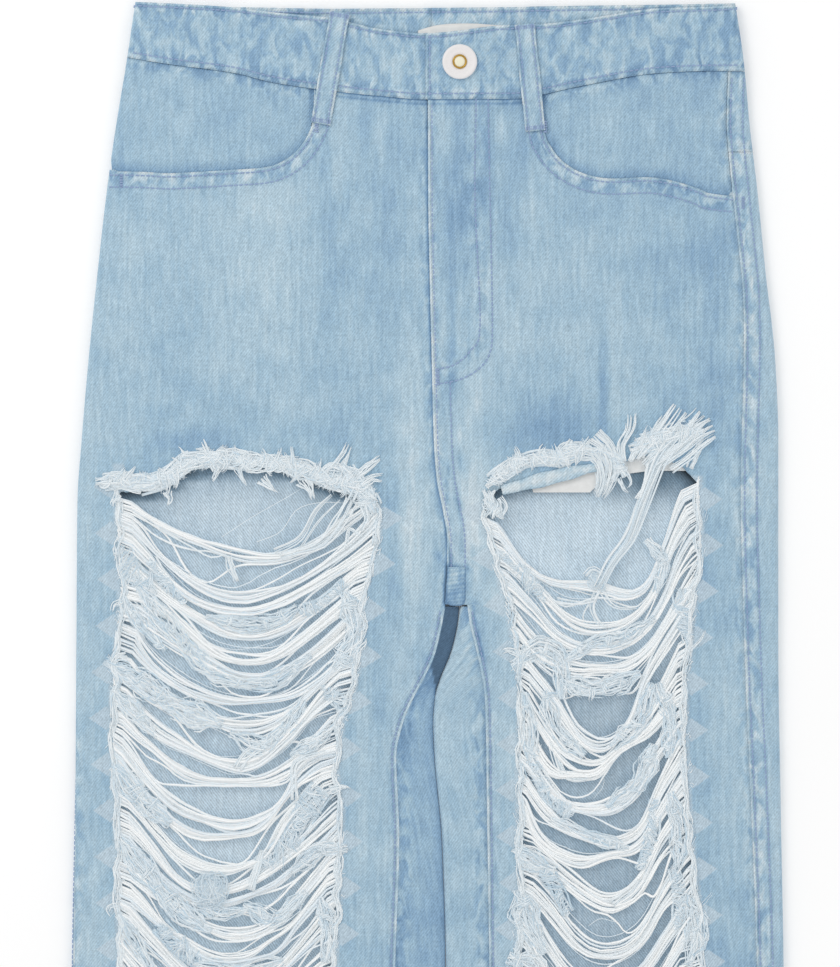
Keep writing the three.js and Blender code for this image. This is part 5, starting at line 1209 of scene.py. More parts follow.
# Loose bunches: number of yarns, their thickness, width at the start and the end, and line.
BUNCH = {
    "right": [
        (10, 1.1, 8.4, 4.2, -47, 298, -55, 311, -67, 325, -90, 332), (1, 0.45, 0, 0, -125, 320, -101, 305, -75,
        290), (1, 0.55, 0, 0, -104, 323, -90, 317, -80, 304, -66, 300, -51, 300), (4, 1, 3.6, 3, -93, 329, -78,
        321, -69, 305, -59, 295), (2, 0.7, 1.8, 1.8, -78, 326, -67, 310, -54, 298), (7, 0.8, 3.6, 5.4, -121,
        332, -119, 339, -116, 347), (2, 0.8, 1.8, 1.8, -162, 315, -144, 325, -131, 332, -119, 328), (4, 0.8,
        2.4, 3, -51, 327, -49, 315, -43, 318, -35, 321), (9, 0.7, 5.4, 1.8, -128, 280, -133, 271, -137, 261),
        (9, 0.7, 4.8, 4.2, -126, 280, -131, 275, -134, 268), (14, 0.7, 9.6, 4.8, -60, 286, -53, 275, -48, 264),
        (10, 0.7, 7.2, 3.6, -48, 287, -37, 278, -29, 272), (9, 0.7, 7.2, 6, -43, 290, -35, 285, -28, 284), (9,
        0.7, 7.2, 1.8, -101, 285, -96, 290, -91, 294), (12, 0.7, 9.6, 3, -76, 286, -72, 292, -70, 298), (9, 0.6,
        6, 1.8, -126, 275, -128, 281, -131, 287), (6, 0.6, 5.4, 1.8, -116, 279, -113, 285, -110, 290), (5, 0.6,
        4.8, 1.8, -157, 293, -156, 298, -157, 302), (6, 0.6, 4.8, 2.4, -187, 294, -190, 298, -190, 303), (12,
        0.6, 6, 3, -168, 286, -181, 284, -194, 285), (8, 0.6, 4.8, 2.4, -173, 292, -184, 290, -193, 290), (5,
        0.6, 3, 3, -143, 275, -148, 269, -151, 266), (3, 0.6, 2.4, 3.6, -78, 280, -84, 272, -91, 273, -96, 275),
        (8, 0.9, 6, 7.2, -53, 280, -60, 279, -68, 285, -74, 281), (6, 0.9, 3.6, 6, -48, 298, -43, 290, -35,
        287), (7, 0.9, 5.4, 3, -40, 298, -38, 309, -41, 317), (6, 0.6, 4.8, 6, -47, 391, -41, 385, -39, 380),
        (5, 0.6, 4.8, 4.8, -185, 358, -191, 362, -193, 365), (6, 0.6, 4.8, 4.8, -182, 391, -188, 394, -191,
        399), (5, 0.6, 3.6, 4.8, -187, 541, -193, 543, -191, 548), (8, 0.7, 4.8, 3, -60, 472, -53, 470, -48,
        472), (9, 0.9, 5.4, 7.2, -115, 460, -110, 451, -101, 445, -84, 433), (7, 0.9, 4.8, 4.8, -108, 532, -104,
        519, -101, 508), (7, 1.1, 4.8, 4.8, -82, 478, -83, 466, -80, 455, -63, 448),
    ],
    "left": [
        (18, 1.5, 13.2, 7.2, 143, 264, 136, 275, 126, 303, 119, 321, 109, 335, 101, 351), (8, 1, 5.4, 5.4, 94,
        344, 98, 340, 104, 345, 98, 352), (5, 1, 3.6, 3, 101, 351, 98, 361, 100, 370, 106, 375), (4, 0.9, 3,
        2.4, 102, 352, 111, 362, 126, 362), (5, 0.9, 3.6, 2.4, 76, 358, 87, 360, 100, 358), (3, 0.6, 1.8, 1.8,
        96, 360, 92, 368, 94, 372), (12, 0.7, 3.6, 6, 116, 275, 115, 265, 120, 255, 121, 245), (10, 0.7, 3.6,
        7.2, 120, 275, 126, 265, 133, 260, 143, 258), (14, 0.8, 9.6, 12, 126, 275, 135, 264, 145, 250, 150,
        243), (16, 0.8, 9.6, 12, 132, 275, 145, 262, 157, 252, 163, 246), (16, 0.8, 9.6, 10.8, 138, 276, 152,
        264, 163, 255, 169, 252), (12, 0.8, 8.4, 9.6, 143, 278, 156, 269, 164, 261, 169, 257), (10, 0.7, 6, 3.6,
        156, 279, 160, 269, 166, 260), (8, 0.7, 4.8, 2.4, 126, 272, 131, 262, 139, 250, 143, 245), (44, 0.6,
        20.4, 16.8, 96, 262, 102, 269, 103, 282, 100, 297), (10, 0.8, 9.6, 4.8, 78, 275, 82, 267, 85, 262), (9,
        0.7, 7.2, 3.6, 91, 269, 94, 263, 96, 260), (6, 0.6, 4.8, 1.8, 74, 278, 74, 272, 73, 267), (6, 0.7, 3,
        2.4, 109, 286, 115, 280, 121, 287, 118, 292), (5, 0.7, 2.4, 1.8, 113, 285, 116, 290, 119, 294), (9, 0.9,
        5.4, 3.6, 126, 298, 130, 286, 133, 275), (9, 0.8, 8.4, 7.2, 34, 298, 37, 303, 36, 309), (9, 0.8, 7.2, 6,
        41, 297, 44, 302, 42, 308), (7, 0.6, 4.8, 3.6, 54, 391, 47, 388, 43, 390), (4, 0.6, 2.4, 3, 156, 389,
        162, 383, 166, 376), (1, 0.4, 0, 0, 97, 463, 104, 465, 103, 472, 98, 477), (1, 0.4, 0, 0, 95, 553, 102,
        549, 112, 552), (2, 0.4, 3.6, 4.8, 162, 541, 166, 537, 169, 533), (8, 1, 6, 4.8, 73, 443, 77, 455, 85,
        465, 97, 465), (6, 0.9, 4.8, 4.8, 109, 541, 119, 533, 126, 526),
    ],
}
# Round puffs: middle and radius.
BALLS = {"right": [(-132, 532, 10.5)], "left": [(99, 345, 3.6), (97, 349, 2.8), (103, 350, 2.6)]}
# The turned edge of the cloth at the head of the left rip.
TURNED = [(43, 292.2), (54, 289.3), (70, 285.2), (88, 280.8), (100, 278.2)]
# The fringe along the head of each rip: half width and middle line.
FRINGE = {
    "right": [
        (7.2, -196, 287, -181, 286, -167, 287), (7.8, -174, 290, -162, 287, -152, 280, -145, 275, -134, 273,
        -121, 273, -108, 275), (7.8, -114, 275, -101, 276, -87, 277, -74, 280, -66, 285), (7.8, -72, 281, -62,
        286, -54, 288, -47, 290), (7.8, -51, 280, -44, 288, -38, 294, -35, 302),
    ],
    "left": [
        (6.6, 37, 287, 43, 282, 53, 276, 66, 273, 79, 274), (7.8, 76, 274, 85, 269, 96, 268), (6, 102, 269, 110,
        272, 115, 280), (8.4, 124, 266, 135, 262, 147, 258, 160, 257), (4.8, 34, 296, 38, 302, 41, 306),
    ],
}
# Corners of the section of a yarn.
SIDES_OF_YARN = 3


def tubes(lines, radius):
    """Closed tubes on lines of equal count: (m, n, 3) points in millimetres and (m, n) radii."""
    p = metres(lines)
    r = np.broadcast_to(radius, p.shape[:2])[:, :, None, None] / 1000
    along = np.gradient(p, axis=1)
    along /= np.linalg.norm(along, axis=2, keepdims=True) + 1e-12
    across = np.cross(along, np.array([0.12, 0.05, 1.0]))
    across /= np.linalg.norm(across, axis=2, keepdims=True) + 1e-12
    up = np.cross(across, along)
    turn = (np.arange(SIDES_OF_YARN) * 2 * math.pi / SIDES_OF_YARN + 0.5)[:, None]
    points = p[:, :, None] + (across[:, :, None] * np.cos(turn) + up[:, :, None] * np.sin(turn)) * r
    index = np.arange(points[..., 0].size).reshape(points.shape[:3])
    nxt = np.roll(index, -1, 2)
    quads = np.stack([index[:, :-1], nxt[:, :-1], nxt[:, 1:], index[:, 1:]], -1).reshape(-1, 4)
    return points.reshape(-1, 3), quads, np.concatenate([index[:, 0, ::-1], index[:, -1]])


class Strands:
    """Gathers tubes into one piece."""

    def __init__(self):
        self.points, self.quads, self.caps, self.tints, self.count = [], [], [], [], 0

    def add(self, lines, radius, tint):
        """Adds lines of (X, drop, height), with a tint for each line."""
        points, quads, caps = tubes(np.asarray(lines, float), radius)
        tint = np.broadcast_to(np.clip(tint, 0, 1)[:, None], np.shape(lines)[:2])
        self.points.append(points)
        self.quads.append(quads + self.count)
        self.caps.append(caps + self.count)
        self.tints.append(np.repeat(tint.ravel(), SIDES_OF_YARN))
        self.count += len(points)

    def make(self, name, material):
        points, quads, caps, tints = map(np.concatenate, (self.points, self.quads, self.caps, self.tints))
        return mesh_object(name, points, [quads, caps], material, attributes={"tint": tints})


def resample(line, count):
    """A smooth curve through a line's points, at even steps."""
    fine = smooth_line(line, 1.0)
    long = np.concatenate([[0], np.cumsum(np.linalg.norm(np.diff(fine, axis=0), axis=1))])
    at = np.linspace(0, long[-1], count)
    return np.stack([np.interp(at, long, column) for column in fine.T], 1)


def between(path, at):
    """Points of a path at broken indices."""
    i = np.minimum(at.astype(int), len(path) - 2)
    return mix(path[i], path[i + 1], (at - i)[..., None])


def wander(rng, m, n, waves, size):
    """Smooth random offsets along each of m lines."""
    t = np.linspace(0, 1, n)
    total = np.zeros((m, n))
    for k in waves:
        high = rng.normal(0, 1, (m, 1)) / math.sqrt(k)
        total += high * np.sin(2 * math.pi * k * t[None] + rng.uniform(0, 6.28, (m, 1)))
    return size * total / math.sqrt(len(waves))


def points_of(row):
    """The points (X, drop) of a flat row of numbers."""
    return np.reshape(row, (-1, 2)).astype(float)


def part(side, x, drop):
    """Parts yarns round the windows of a rip. Each yarn keeps to the side on which it passes the middle."""
    for cx, cd, rx, rd, turn in WINDOWS[side.name]:
        a = math.radians(turn)
        u = (x - cx) * math.cos(a) + (drop - cd) * math.sin(a)
        v = -(x - cx) * math.sin(a) + (drop - cd) * math.cos(a)
        nearest = np.argmin(np.hypot(u, 0.3 * v), axis=1)
        sign = np.where(v[np.arange(len(v)), nearest] < 0, -1.0, 1.0)[:, None]
        rd *= 0.84
        h = rd * np.clip(1 - (u / rx) ** 2, 0, 1) ** 0.8
        far = h * 1.9 + 1e-6
        w = sign * v
        moved = np.where(w < far, h + np.maximum(w, 0) * (1 - h / far), w)
        moved = np.where((np.abs(u) < rx) & (w > -1.2 * rd), moved, w)
        shift = sign * (moved - w)
        x, drop = x - shift * math.sin(a), drop + shift * math.cos(a)
    for grid in (x, drop):
        for _ in range(4):
            grid[:, 1:-1] = 0.25 * grid[:, :-2] + 0.5 * grid[:, 1:-1] + 0.25 * grid[:, 2:]
    return x, drop


def swags(side, strands):
    """The white weft yarns that hang from side to side, gathered into bundles in the middle."""
    rng = np.random.default_rng(11 if side.hand < 0 else 12)
    n, per = 40, 15
    t = np.linspace(0, 1, n)
    lines = np.array([resample(points_of(line), n) for line in SWAGS[side.name]])
    count = len(lines)
    place = np.arange((count - 1) * per + 1) / per
    place = np.concatenate([np.linspace(-0.22, -0.05, 5), place, rng.uniform(0, count - 1, 60)])
    m = len(place)
    deep = np.arange(m) >= m - 60
    gather = np.where(deep, 0.2, 0.52)[:, None] * (1 - np.abs(2 * t - 1) ** 2.2)
    s = place[:, None] + rng.normal(0, 0.02, (m, 1)) + wander(rng, m, n, (0.5, 1, 1.7), 0.075)
    near = np.round(s)
    s = near + (s - near) * (1 - gather) + wander(rng, m, n, (1, 2, 3), 0.05) * gather
    s = np.clip(s, -0.15, count - 1.001)
    low, cols = np.clip(np.floor(s).astype(int), 0, count - 2), np.arange(n)[None, :]
    x, drop = np.moveaxis(mix(lines[low, cols], lines[low + 1, cols], (s - low)[..., None]), -1, 0)
    drop = drop + wander(rng, m, n, (2, 4, 7), 0.7)
    x, drop = part(side, x, drop)
    drop = drop + wander(rng, m, n, (9, 13, 17), 0.5)
    # The ends lie on the cloth at the sides of the rip, the rest in the opening.
    left, right = side.rip(drop)
    x = np.clip(x, left + 0.4, right - 0.4)
    drop = np.minimum(drop, RIP_FOOT[side.name] - 2)
    for end, rim, way in ((0, left, -1), (-1, right, 1)):
        x[:, end] = rim[:, end] + way * rng.uniform(0.2, 1.3, m)
        x[:, end - way] = rim[:, end - way] + way * 0.1
    z = rng.uniform(2.9, 6.0, (m, 1)) + wander(rng, m, n, (1, 2, 4), 0.6) - 1.2 * deep[:, None]
    top = front_height(side, x, drop) + 0.35
    ends = np.abs(2 * t - 1) ** 12
    z = np.where(np.abs(2 * t - 1) > 0.96, top, np.minimum(z, 6.6) * (1 - ends) + (top - 0.5) * ends)
    thick = rng.uniform(0.5, 0.9, (m, 1)) * (1 + 0.16 * np.sin(rng.uniform(20, 40, (m, 1)) * t))
    thick *= np.where(deep, 0.45, 1)[:, None]
    thick *= bpy.context.scene.jeans.yarn / YARN
    thick[:, 0] *= 0.5
    thick[:, -1] *= 0.5
    strands.add(np.stack([x, drop, np.maximum(z, 2.2)], -1), thick, np.where(deep, 0.6, rng.beta(1.1, 3.5, m)))


def band(rng, line, half, strands, base=5.0, tall=2.2, rough=0.36, swirl=0.7, blue=0.5):
    """A fluffy band: fibres arched across a line, with ragged ends."""
    half = half * 1.1
    # A core of thicker yarns gives the band its body.
    core, count = resample(line, 14), max(3, int(half * 0.9))
    spread = rng.uniform(-0.8, 0.8, (count, 1)) * half + wander(rng, count, 14, (1, 2), 0.7)
    xy = core + ways(core)[1] * spread[..., None]
    strands.add(np.concatenate([xy, base - 0.6 + rng.uniform(-0.4, 0.9, (count, 14, 1))], 2),
                rng.uniform(0.6, 1.0, (count, 1)), rng.normal(blue, 0.2, count))
    path = smooth_line(line, 0.5)
    last, m, n = len(path) - 1, int(np.linalg.norm(np.diff(path, axis=0), axis=1).sum() / 0.5), 6
    at = rng.uniform(0, last - 0.001, m)
    i = at.astype(int)
    way = path[np.minimum(i + 3, last)] - path[np.maximum(i - 3, 0)]
    way /= np.linalg.norm(way, axis=1, keepdims=True) + 1e-9
    lean = swirl * np.sin(at / 13 + rng.uniform(0, 6)) + 0.6 * swirl * np.sin(at / 5.3)
    lean = lean[:, None] + rng.normal(0, 0.14, (m, 1))
    direction = np.stack([-way[:, 1], way[:, 0]], 1) + way * lean
    wide = half * (0.72 + 0.28 * np.sin(at / 9 + rng.uniform(0, 6)))[:, None]
    wide = wide * np.clip(np.minimum(at, last - at)[:, None] * 0.5 / half + 0.35, 0.35, 1)
    start = -wide * rng.uniform(1.12 - rough, 1.12, (m, 1))
    lateral = mix(start, wide * rng.uniform(1.12 - rough, 1.12, (m, 1)), np.linspace(0, 1, n)[None])
    bend = wander(rng, m, n, (0.5, 1.0), 0.12 * half + 0.3)
    xy = between(path, at)[:, None] + direction[:, None] * lateral[..., None] + way[:, None] * bend[..., None]
    dome = np.clip(1 - (lateral / (wide * 1.12)) ** 2, 0, 1)
    z = base + tall * dome * rng.uniform(0.55, 1.0, (m, 1)) + wander(rng, m, n, (1, 1.5), 0.25)
    thick = rng.uniform(0.18, 0.34, (m, 1)) * [0.5, 1, 1, 1, 1, 0.4]
    strands.add(np.dstack([xy, z]), thick, rng.normal(blue, 0.28, m))


def mat(rng, line, half, strands, base=5.0, blue=0.35):
    """A soft matted patch: fine fibres that follow a line."""
    path = smooth_line(line, 0.5)
    last, m, n = len(path) - 1, int(len(path) * 0.5 * half / 2.7), 5
    way, across = ways(path)
    raw = rng.uniform(-8, last + 8, (m, 1)) + np.linspace(-0.5, 0.5, n)[None] * rng.uniform(14, 44, (m, 1))
    at = np.clip(raw, 0, last - 0.001)
    i = at.astype(int)
    mid = between(path, at) + way[i] * np.clip(raw - at, -9, 9)[..., None] * 0.5
    place = rng.uniform(-1, 1, (m, 1))
    wide = half * (0.82 + 0.18 * np.sin(at / 11 + rng.uniform(0, 6)))
    wide = wide * np.clip(np.minimum(at, last - at) * 0.5 / (1.4 * half) + 0.4, 0.4, 1)
    off = place * wide + wander(rng, m, n, (0.7, 1.3), 0.07 * half + 0.25)
    z = base + 2.0 * np.sqrt(np.clip(1.05 - place ** 2, 0, 1)) * rng.uniform(0.3, 1, (m, 1))
    z = z + wander(rng, m, n, (1, 1.5), 0.35)
    thick = rng.uniform(0.3, 0.62, (m, 1)) * [0.5, 1, 1, 1, 0.5]
    strands.add(np.dstack([mid + across[i] * off[..., None], z]), thick, rng.normal(blue, 0.28, m))


def tufts(rng, line, half, strands, base=7.0, step=2.0, blue=0.15, down=0.62, per=9):
    """Short curled locks that lie across a line and hang off its sides."""
    path = smooth_line(line, 0.5)
    last, n = len(path) - 1, 7
    locks = max(2, int(last * 0.5 / step))
    i = rng.uniform(0, last, locks).astype(int)
    way = ways(path)[0][i]
    heading = np.arctan2(way[:, 1], way[:, 0]) + np.where(rng.random(locks) < down, 1, -1) * QUARTER
    heading = heading + rng.normal(0, 0.6, locks)
    t = np.linspace(0, 1, n)[None]
    angle = heading[:, None] + rng.normal(0, 1.7, (locks, 1)) * (t - 0.3)
    long = (half * rng.uniform(0.8, 1.7, locks))[:, None, None] / (n - 1)
    middle = np.cumsum(np.stack([np.cos(angle), np.sin(angle)], -1) * long, 1)
    middle = middle - middle[:, 2:3] * rng.uniform(0.2, 1, (locks, 1, 1)) + path[i][:, None]
    out = np.stack([-np.sin(angle), np.cos(angle)], -1)
    k = np.repeat(np.arange(locks), per)
    m = len(k)
    spread = rng.uniform(-1, 1, (m, 1)) * rng.uniform(1.0, 2.6, (locks, 1))[k] * (1.05 - 0.55 * t ** 1.6)
    spread = spread + wander(rng, m, n, (0.6, 1.2), 0.2)
    slide = rng.uniform(-0.45, 0.08, (m, 1, 1)) * (middle[k, -1:] - middle[k, :1])
    xy = middle[k] + out[k] * spread[..., None] + slide
    z = base + 1.2 * np.sin(math.pi * np.clip(t + 0.15, 0, 1)) - 0.8 * t ** 2 + rng.uniform(-0.5, 0.7, (m, 1))
    thick = rng.uniform(0.24, 0.44, (m, 1)) * np.interp(t, [0, 0.2, 0.8, 1], [0.6, 1, 0.9, 0.35])
    strands.add(np.dstack([xy, z]), thick, rng.normal(blue, 0.22, m))


def bunch(rng, many, thick, wide0, wide1, line, strands, base=6.0):
    """Loose yarns that run together along a line."""
    n = max(6, 3 * len(line))
    if many > 4 and thick < 1:
        many, thick = int(many * 1.3), thick * 1.4
    path, t = resample(line, n), np.linspace(0, 1, n)[None]
    # The yarns hang together in locks that come to a point.
    locks = 1 if many > 50 else max(1, min(many // 4, 9)) if thick < 1 else max(1, many // 5)
    lock = rng.integers(0, locks, many)
    middle = ((np.arange(locks) + 0.5) / locks - 0.5)[lock][:, None]
    own = rng.uniform(-0.5, 0.5, (many, 1)) / locks
    shared = wander(rng, locks, n, (0.6, 1.3), 0.03 * (wide0 + wide1) + 0.25)[lock]
    aside = mix(wide0, wide1, t) * (middle + own * (1.2 - 0.7 * t)) + shared
    aside = aside + wander(rng, many, n, (1.5, 2.6), 0.3 if many > 4 else 0.12)
    cut = rng.uniform(0.72, 1.0, (many, 1)) if many > 2 and thick < 1 else np.ones((many, 1))
    at = t * cut * (n - 1)
    xy = between(path, at) + between(ways(path)[1], at) * aside[..., None]
    z = base + rng.uniform(-1.3, 1.3, (many, 1)) * min(1, many / 6) + wander(rng, many, n, (1, 2), 0.3)
    radius = thick / 2 * rng.uniform(0.7, 1.1, (many, 1)) * np.interp(t, [0, 0.8, 1], [1, 0.95, 0.45])
    strands.add(np.dstack([xy, z]), radius, rng.beta(1.0, 6, many))


def ball(rng, x, drop, radius, strands):
    """A round puff of wound fibres."""
    m, n = int(18 * radius), 9
    pole = rng.normal(0, 1, (m, 3)) * np.array([1, 0.7, 0.6])
    pole /= np.linalg.norm(pole, axis=1, keepdims=True)
    side = np.cross(pole, rng.normal(0, 1, (m, 3)))
    side /= np.linalg.norm(side, axis=1, keepdims=True)
    other = np.cross(pole, side)
    a = rng.uniform(0, 6.28, (m, 1)) + np.linspace(0, 1, n)[None] * rng.uniform(1.5, 3.6, (m, 1))
    r = radius * rng.uniform(0.6, 1.1, (m, 1)) * (1 + 0.12 * np.sin(3 * a))
    p = (side[:, None] * np.cos(a)[..., None] + other[:, None] * np.sin(a)[..., None]) * r[..., None]
    strands.add(p * [1, 1, 0.34] + [x, drop, 6.6], rng.uniform(0.16, 0.3, (m, 1)), rng.normal(0.45, 0.25, m))


def side_fuzz(side, strands, rng):
    """Short ends along the sides of a rip."""
    m, n = 300, 5
    drop = rng.uniform(RIP[side.name][0][0] + 6, RIP_FOOT[side.name] - 2, m)
    on_left, t = rng.random(m) < 0.5, np.linspace(0, 1, n)[None]
    inwards = np.where(on_left, 1.0, -1.0)
    long = rng.uniform(1.2, 4.6, (m, 1)) * np.where(rng.random((m, 1)) < 0.25, -0.7, 1)
    start = np.where(on_left, *side.rip(drop)) - inwards * rng.uniform(0.4, 3.2, m)
    x = start[:, None] + inwards[:, None] * long * t
    drop = drop[:, None] + long * t * rng.normal(0.7, 0.9, (m, 1)) + wander(rng, m, n, (0.6, 1.2), 0.8)
    z = front_height(side, x, drop) + 0.1 + rng.uniform(0, 0.9, (m, 1)) * np.sin(t * 3.1)
    strands.add(np.stack([x, drop, z], -1), rng.uniform(0.15, 0.32, (m, 1)), rng.normal(0.3, 0.25, m))


def rip_pieces(side):
    """The yarns, fluff and fringe of one rip."""
    white = bpy.data.materials.get("loose_cotton") or fibre("loose_cotton", (243, 245, 245), (211, 225, 235))
    pale = bpy.data.materials.get("faded_fibre") or fibre("faded_fibre", (231, 237, 240), (193, 213, 226))
    rng = np.random.default_rng(21 if side.hand < 0 else 22)
    yarns, fluff, fringe = Strands(), Strands(), Strands()
    swags(side, yarns)
    for k, (half, *row) in enumerate(FLUFF[side.name]):
        line = points_of(row)
        if k % 4 == 0:
            band(rng, line, half * 1.1, fluff)
        else:
            mat(rng, line, half * 1.25, fluff)
        tufts(rng, line, half * 0.8, fluff, base=6.2, step=8.0, blue=0.3, down=0.5, per=8)
    for x, drop, radius in BALLS[side.name]:
        ball(rng, x, drop, radius, fluff)
    side_fuzz(side, fluff, rng)
    # Felted edges down both sides of the rip and along its foot.
    foot = RIP_FOOT[side.name]
    down = np.arange(RIP[side.name][0][0] + 4, foot, 7.0)
    for rim, inwards in zip(side.rip(down), (-0.3, 0.3)):
        rim = rim + inwards + rng.normal(0, 1.1, len(down))
        mat(rng, np.stack([rim, down], 1), 2.3, fluff, base=4.9 if side.hand < 0 else 5.1, blue=0.15)
    first, last = side.rip(foot)
    mat(rng, [(x, foot - 2.5 + rng.normal(0, 0.8)) for x in np.linspace(first + 1, last - 1, 9)], 4.5, fluff, blue=0.15)
    for half, *row in FRINGE[side.name]:
        line = points_of(row)
        band(rng, line, half * 0.85, fringe, base=5.9, tall=2.8, rough=0.4, swirl=0.75, blue=0.25)
        mat(rng, line, half * 0.8, fringe, base=6.6, blue=0.2)
        tufts(rng, line, half, fringe, base=7.4, step=2.6)
    for many, thick, wide0, wide1, *row in BUNCH[side.name]:
        bunch(rng, many, thick, wide0, wide1, points_of(row), fringe, base=7.0 if row[1] < 300 else 6.0)
    return [yarns.make(f"rip_yarns_{side.name}", white), fluff.make(f"rip_fluff_{side.name}", pale),
            fringe.make(f"rip_fringe_{side.name}", pale)]


def turned_strip(name, line, half):
    """Cloth turned over along the head of a rip."""
    path = smooth_line(line, 2.5)
    t, s = np.linspace(0, 1, len(path))[:, None], np.linspace(-1, 1, 9)[None, :]
    wide = half * (0.55 + 0.45 * np.sin(math.pi * np.clip(t, 0.08, 0.92))) + 0.3 * np.sin(t * 19)
    x, drop = np.moveaxis(path[:, None] + ways(path)[1][:, None] * (wide * s)[..., None], -1, 0)
    p = np.stack([x, drop, 6.6 + 0.9 * np.sqrt(np.clip(1 - s * s, 0, 1)) + 0.15 * np.sin(t * 23)], -1)
    uv = unrolled(x * 0.98 + drop * 0.18, drop * 0.98 - x * 0.18)
    return shell(name, [(p, facing(p, -1), uv)], 0.8, wear=0.5 - 0.25 * np.abs(s), rope=0.25)


# Sewing


# How far the thread stands on the cloth.
THREAD_LIFT = 0.12


def stitch_tree():
    """Stitches along curves, from a pitch, a thickness and a material."""
    tree = bpy.data.node_groups.new("stitches", "GeometryNodeTree")
    for name, kind in (("Geometry", "Geometry"), ("Pitch", "Float"), ("Thickness", "Float"), ("Thread", "Material")):
        tree.interface.new_socket(name, in_out="INPUT", socket_type="NodeSocket" + kind)
    tree.interface.new_socket("Geometry", in_out="OUTPUT", socket_type="NodeSocketGeometry")

    def add(kind, inputs, **settings):
        node = tree.nodes.new(kind)
        for key, value in settings.items():
            setattr(node, key, value)
        for key, value in inputs.items():
            if isinstance(value, bpy.types.NodeSocket):
                tree.links.new(value, node.inputs[key])
            else:
                node.inputs[key].default_value = value
        return node.outputs

    given = add("NodeGroupInput", {})
    spread = add("GeometryNodeResampleCurve", {"Curve": given["Geometry"], "Length": given["Pitch"]}, mode="LENGTH")
    tangent = add("GeometryNodeInputTangent", {})[0]
    turn = add("FunctionNodeAlignRotationToVector", {"Vector": tangent}, axis="Z")
    long, half = (add("ShaderNodeMath", {0: given[name], 1: factor}, operation="MULTIPLY")[0]
                  for name, factor in (("Pitch", 0.7), ("Thickness", 0.5)))
    stitch = add("GeometryNodeMeshCylinder", {"Vertices": 5, "Depth": long, "Radius": half})["Mesh"]
    place = add("GeometryNodeInstanceOnPoints",
                {"Points": spread["Curve"], "Instance": stitch, "Rotation": turn["Rotation"]})["Instances"]
    real = add("GeometryNodeRealizeInstances", {"Geometry": place})["Geometry"]
    made = add("GeometryNodeSetMaterial", {"Geometry": real, "Material": given["Thread"]})["Geometry"]
    add("NodeGroupOutput", {"Geometry": made})
    return tree


def sewn(name, rows, pitch, thickness, material):
    """Stitches along rows of points in millimetres, as one plain mesh."""
    curve = bpy.data.curves.new(name, "CURVE")
    curve.dimensions = "3D"
    for row in rows:
        if len(row) > 1:
            spline = curve.splines.new("POLY")
            spline.points.add(len(row) - 1)
            spline.points.foreach_set("co", np.pad(metres(row), ((0, 0), (0, 1)), constant_values=1).ravel())
    source = bpy.data.objects.new(name + "_rows", curve)
    bpy.context.collection.objects.link(source)
    tree = bpy.data.node_groups.get("stitches") or stitch_tree()
    modifier = source.modifiers.new("stitches", "NODES")
    modifier.node_group = tree
    sockets = {i.name: i.identifier for i in tree.interface.items_tree if i.in_out == "INPUT"}
    for key, value in (("Pitch", pitch), ("Thickness", thickness), ("Thread", material)):
        modifier[sockets[key]] = value
    bpy.context.view_layer.update()
    graph = bpy.context.evaluated_depsgraph_get()
    mesh = bpy.data.meshes.new_from_object(source.evaluated_get(graph), depsgraph=graph)
    source.modifiers.remove(modifier)
    bpy.data.objects.remove(source)
    bpy.data.curves.remove(curve)
    mesh.name = name
    obj = bpy.data.objects.new(name, mesh)
    bpy.context.collection.objects.link(obj)
    return obj


def on_front(side, row, lift=THREAD_LIFT):
    """A row of (X, drop) laid on a front, past the rip and the pocket opening."""
    p, _ = skin(side, side.hand * row[:, 0], row[:, 1])
    return p + [0, 0, lift]


def on_skin(side, around, drop, **level):
    p, inward = skin(side, *np.broadcast_arrays(np.asarray(around, float), np.asarray(drop, float)), **level)
    return p - inward * THREAD_LIFT


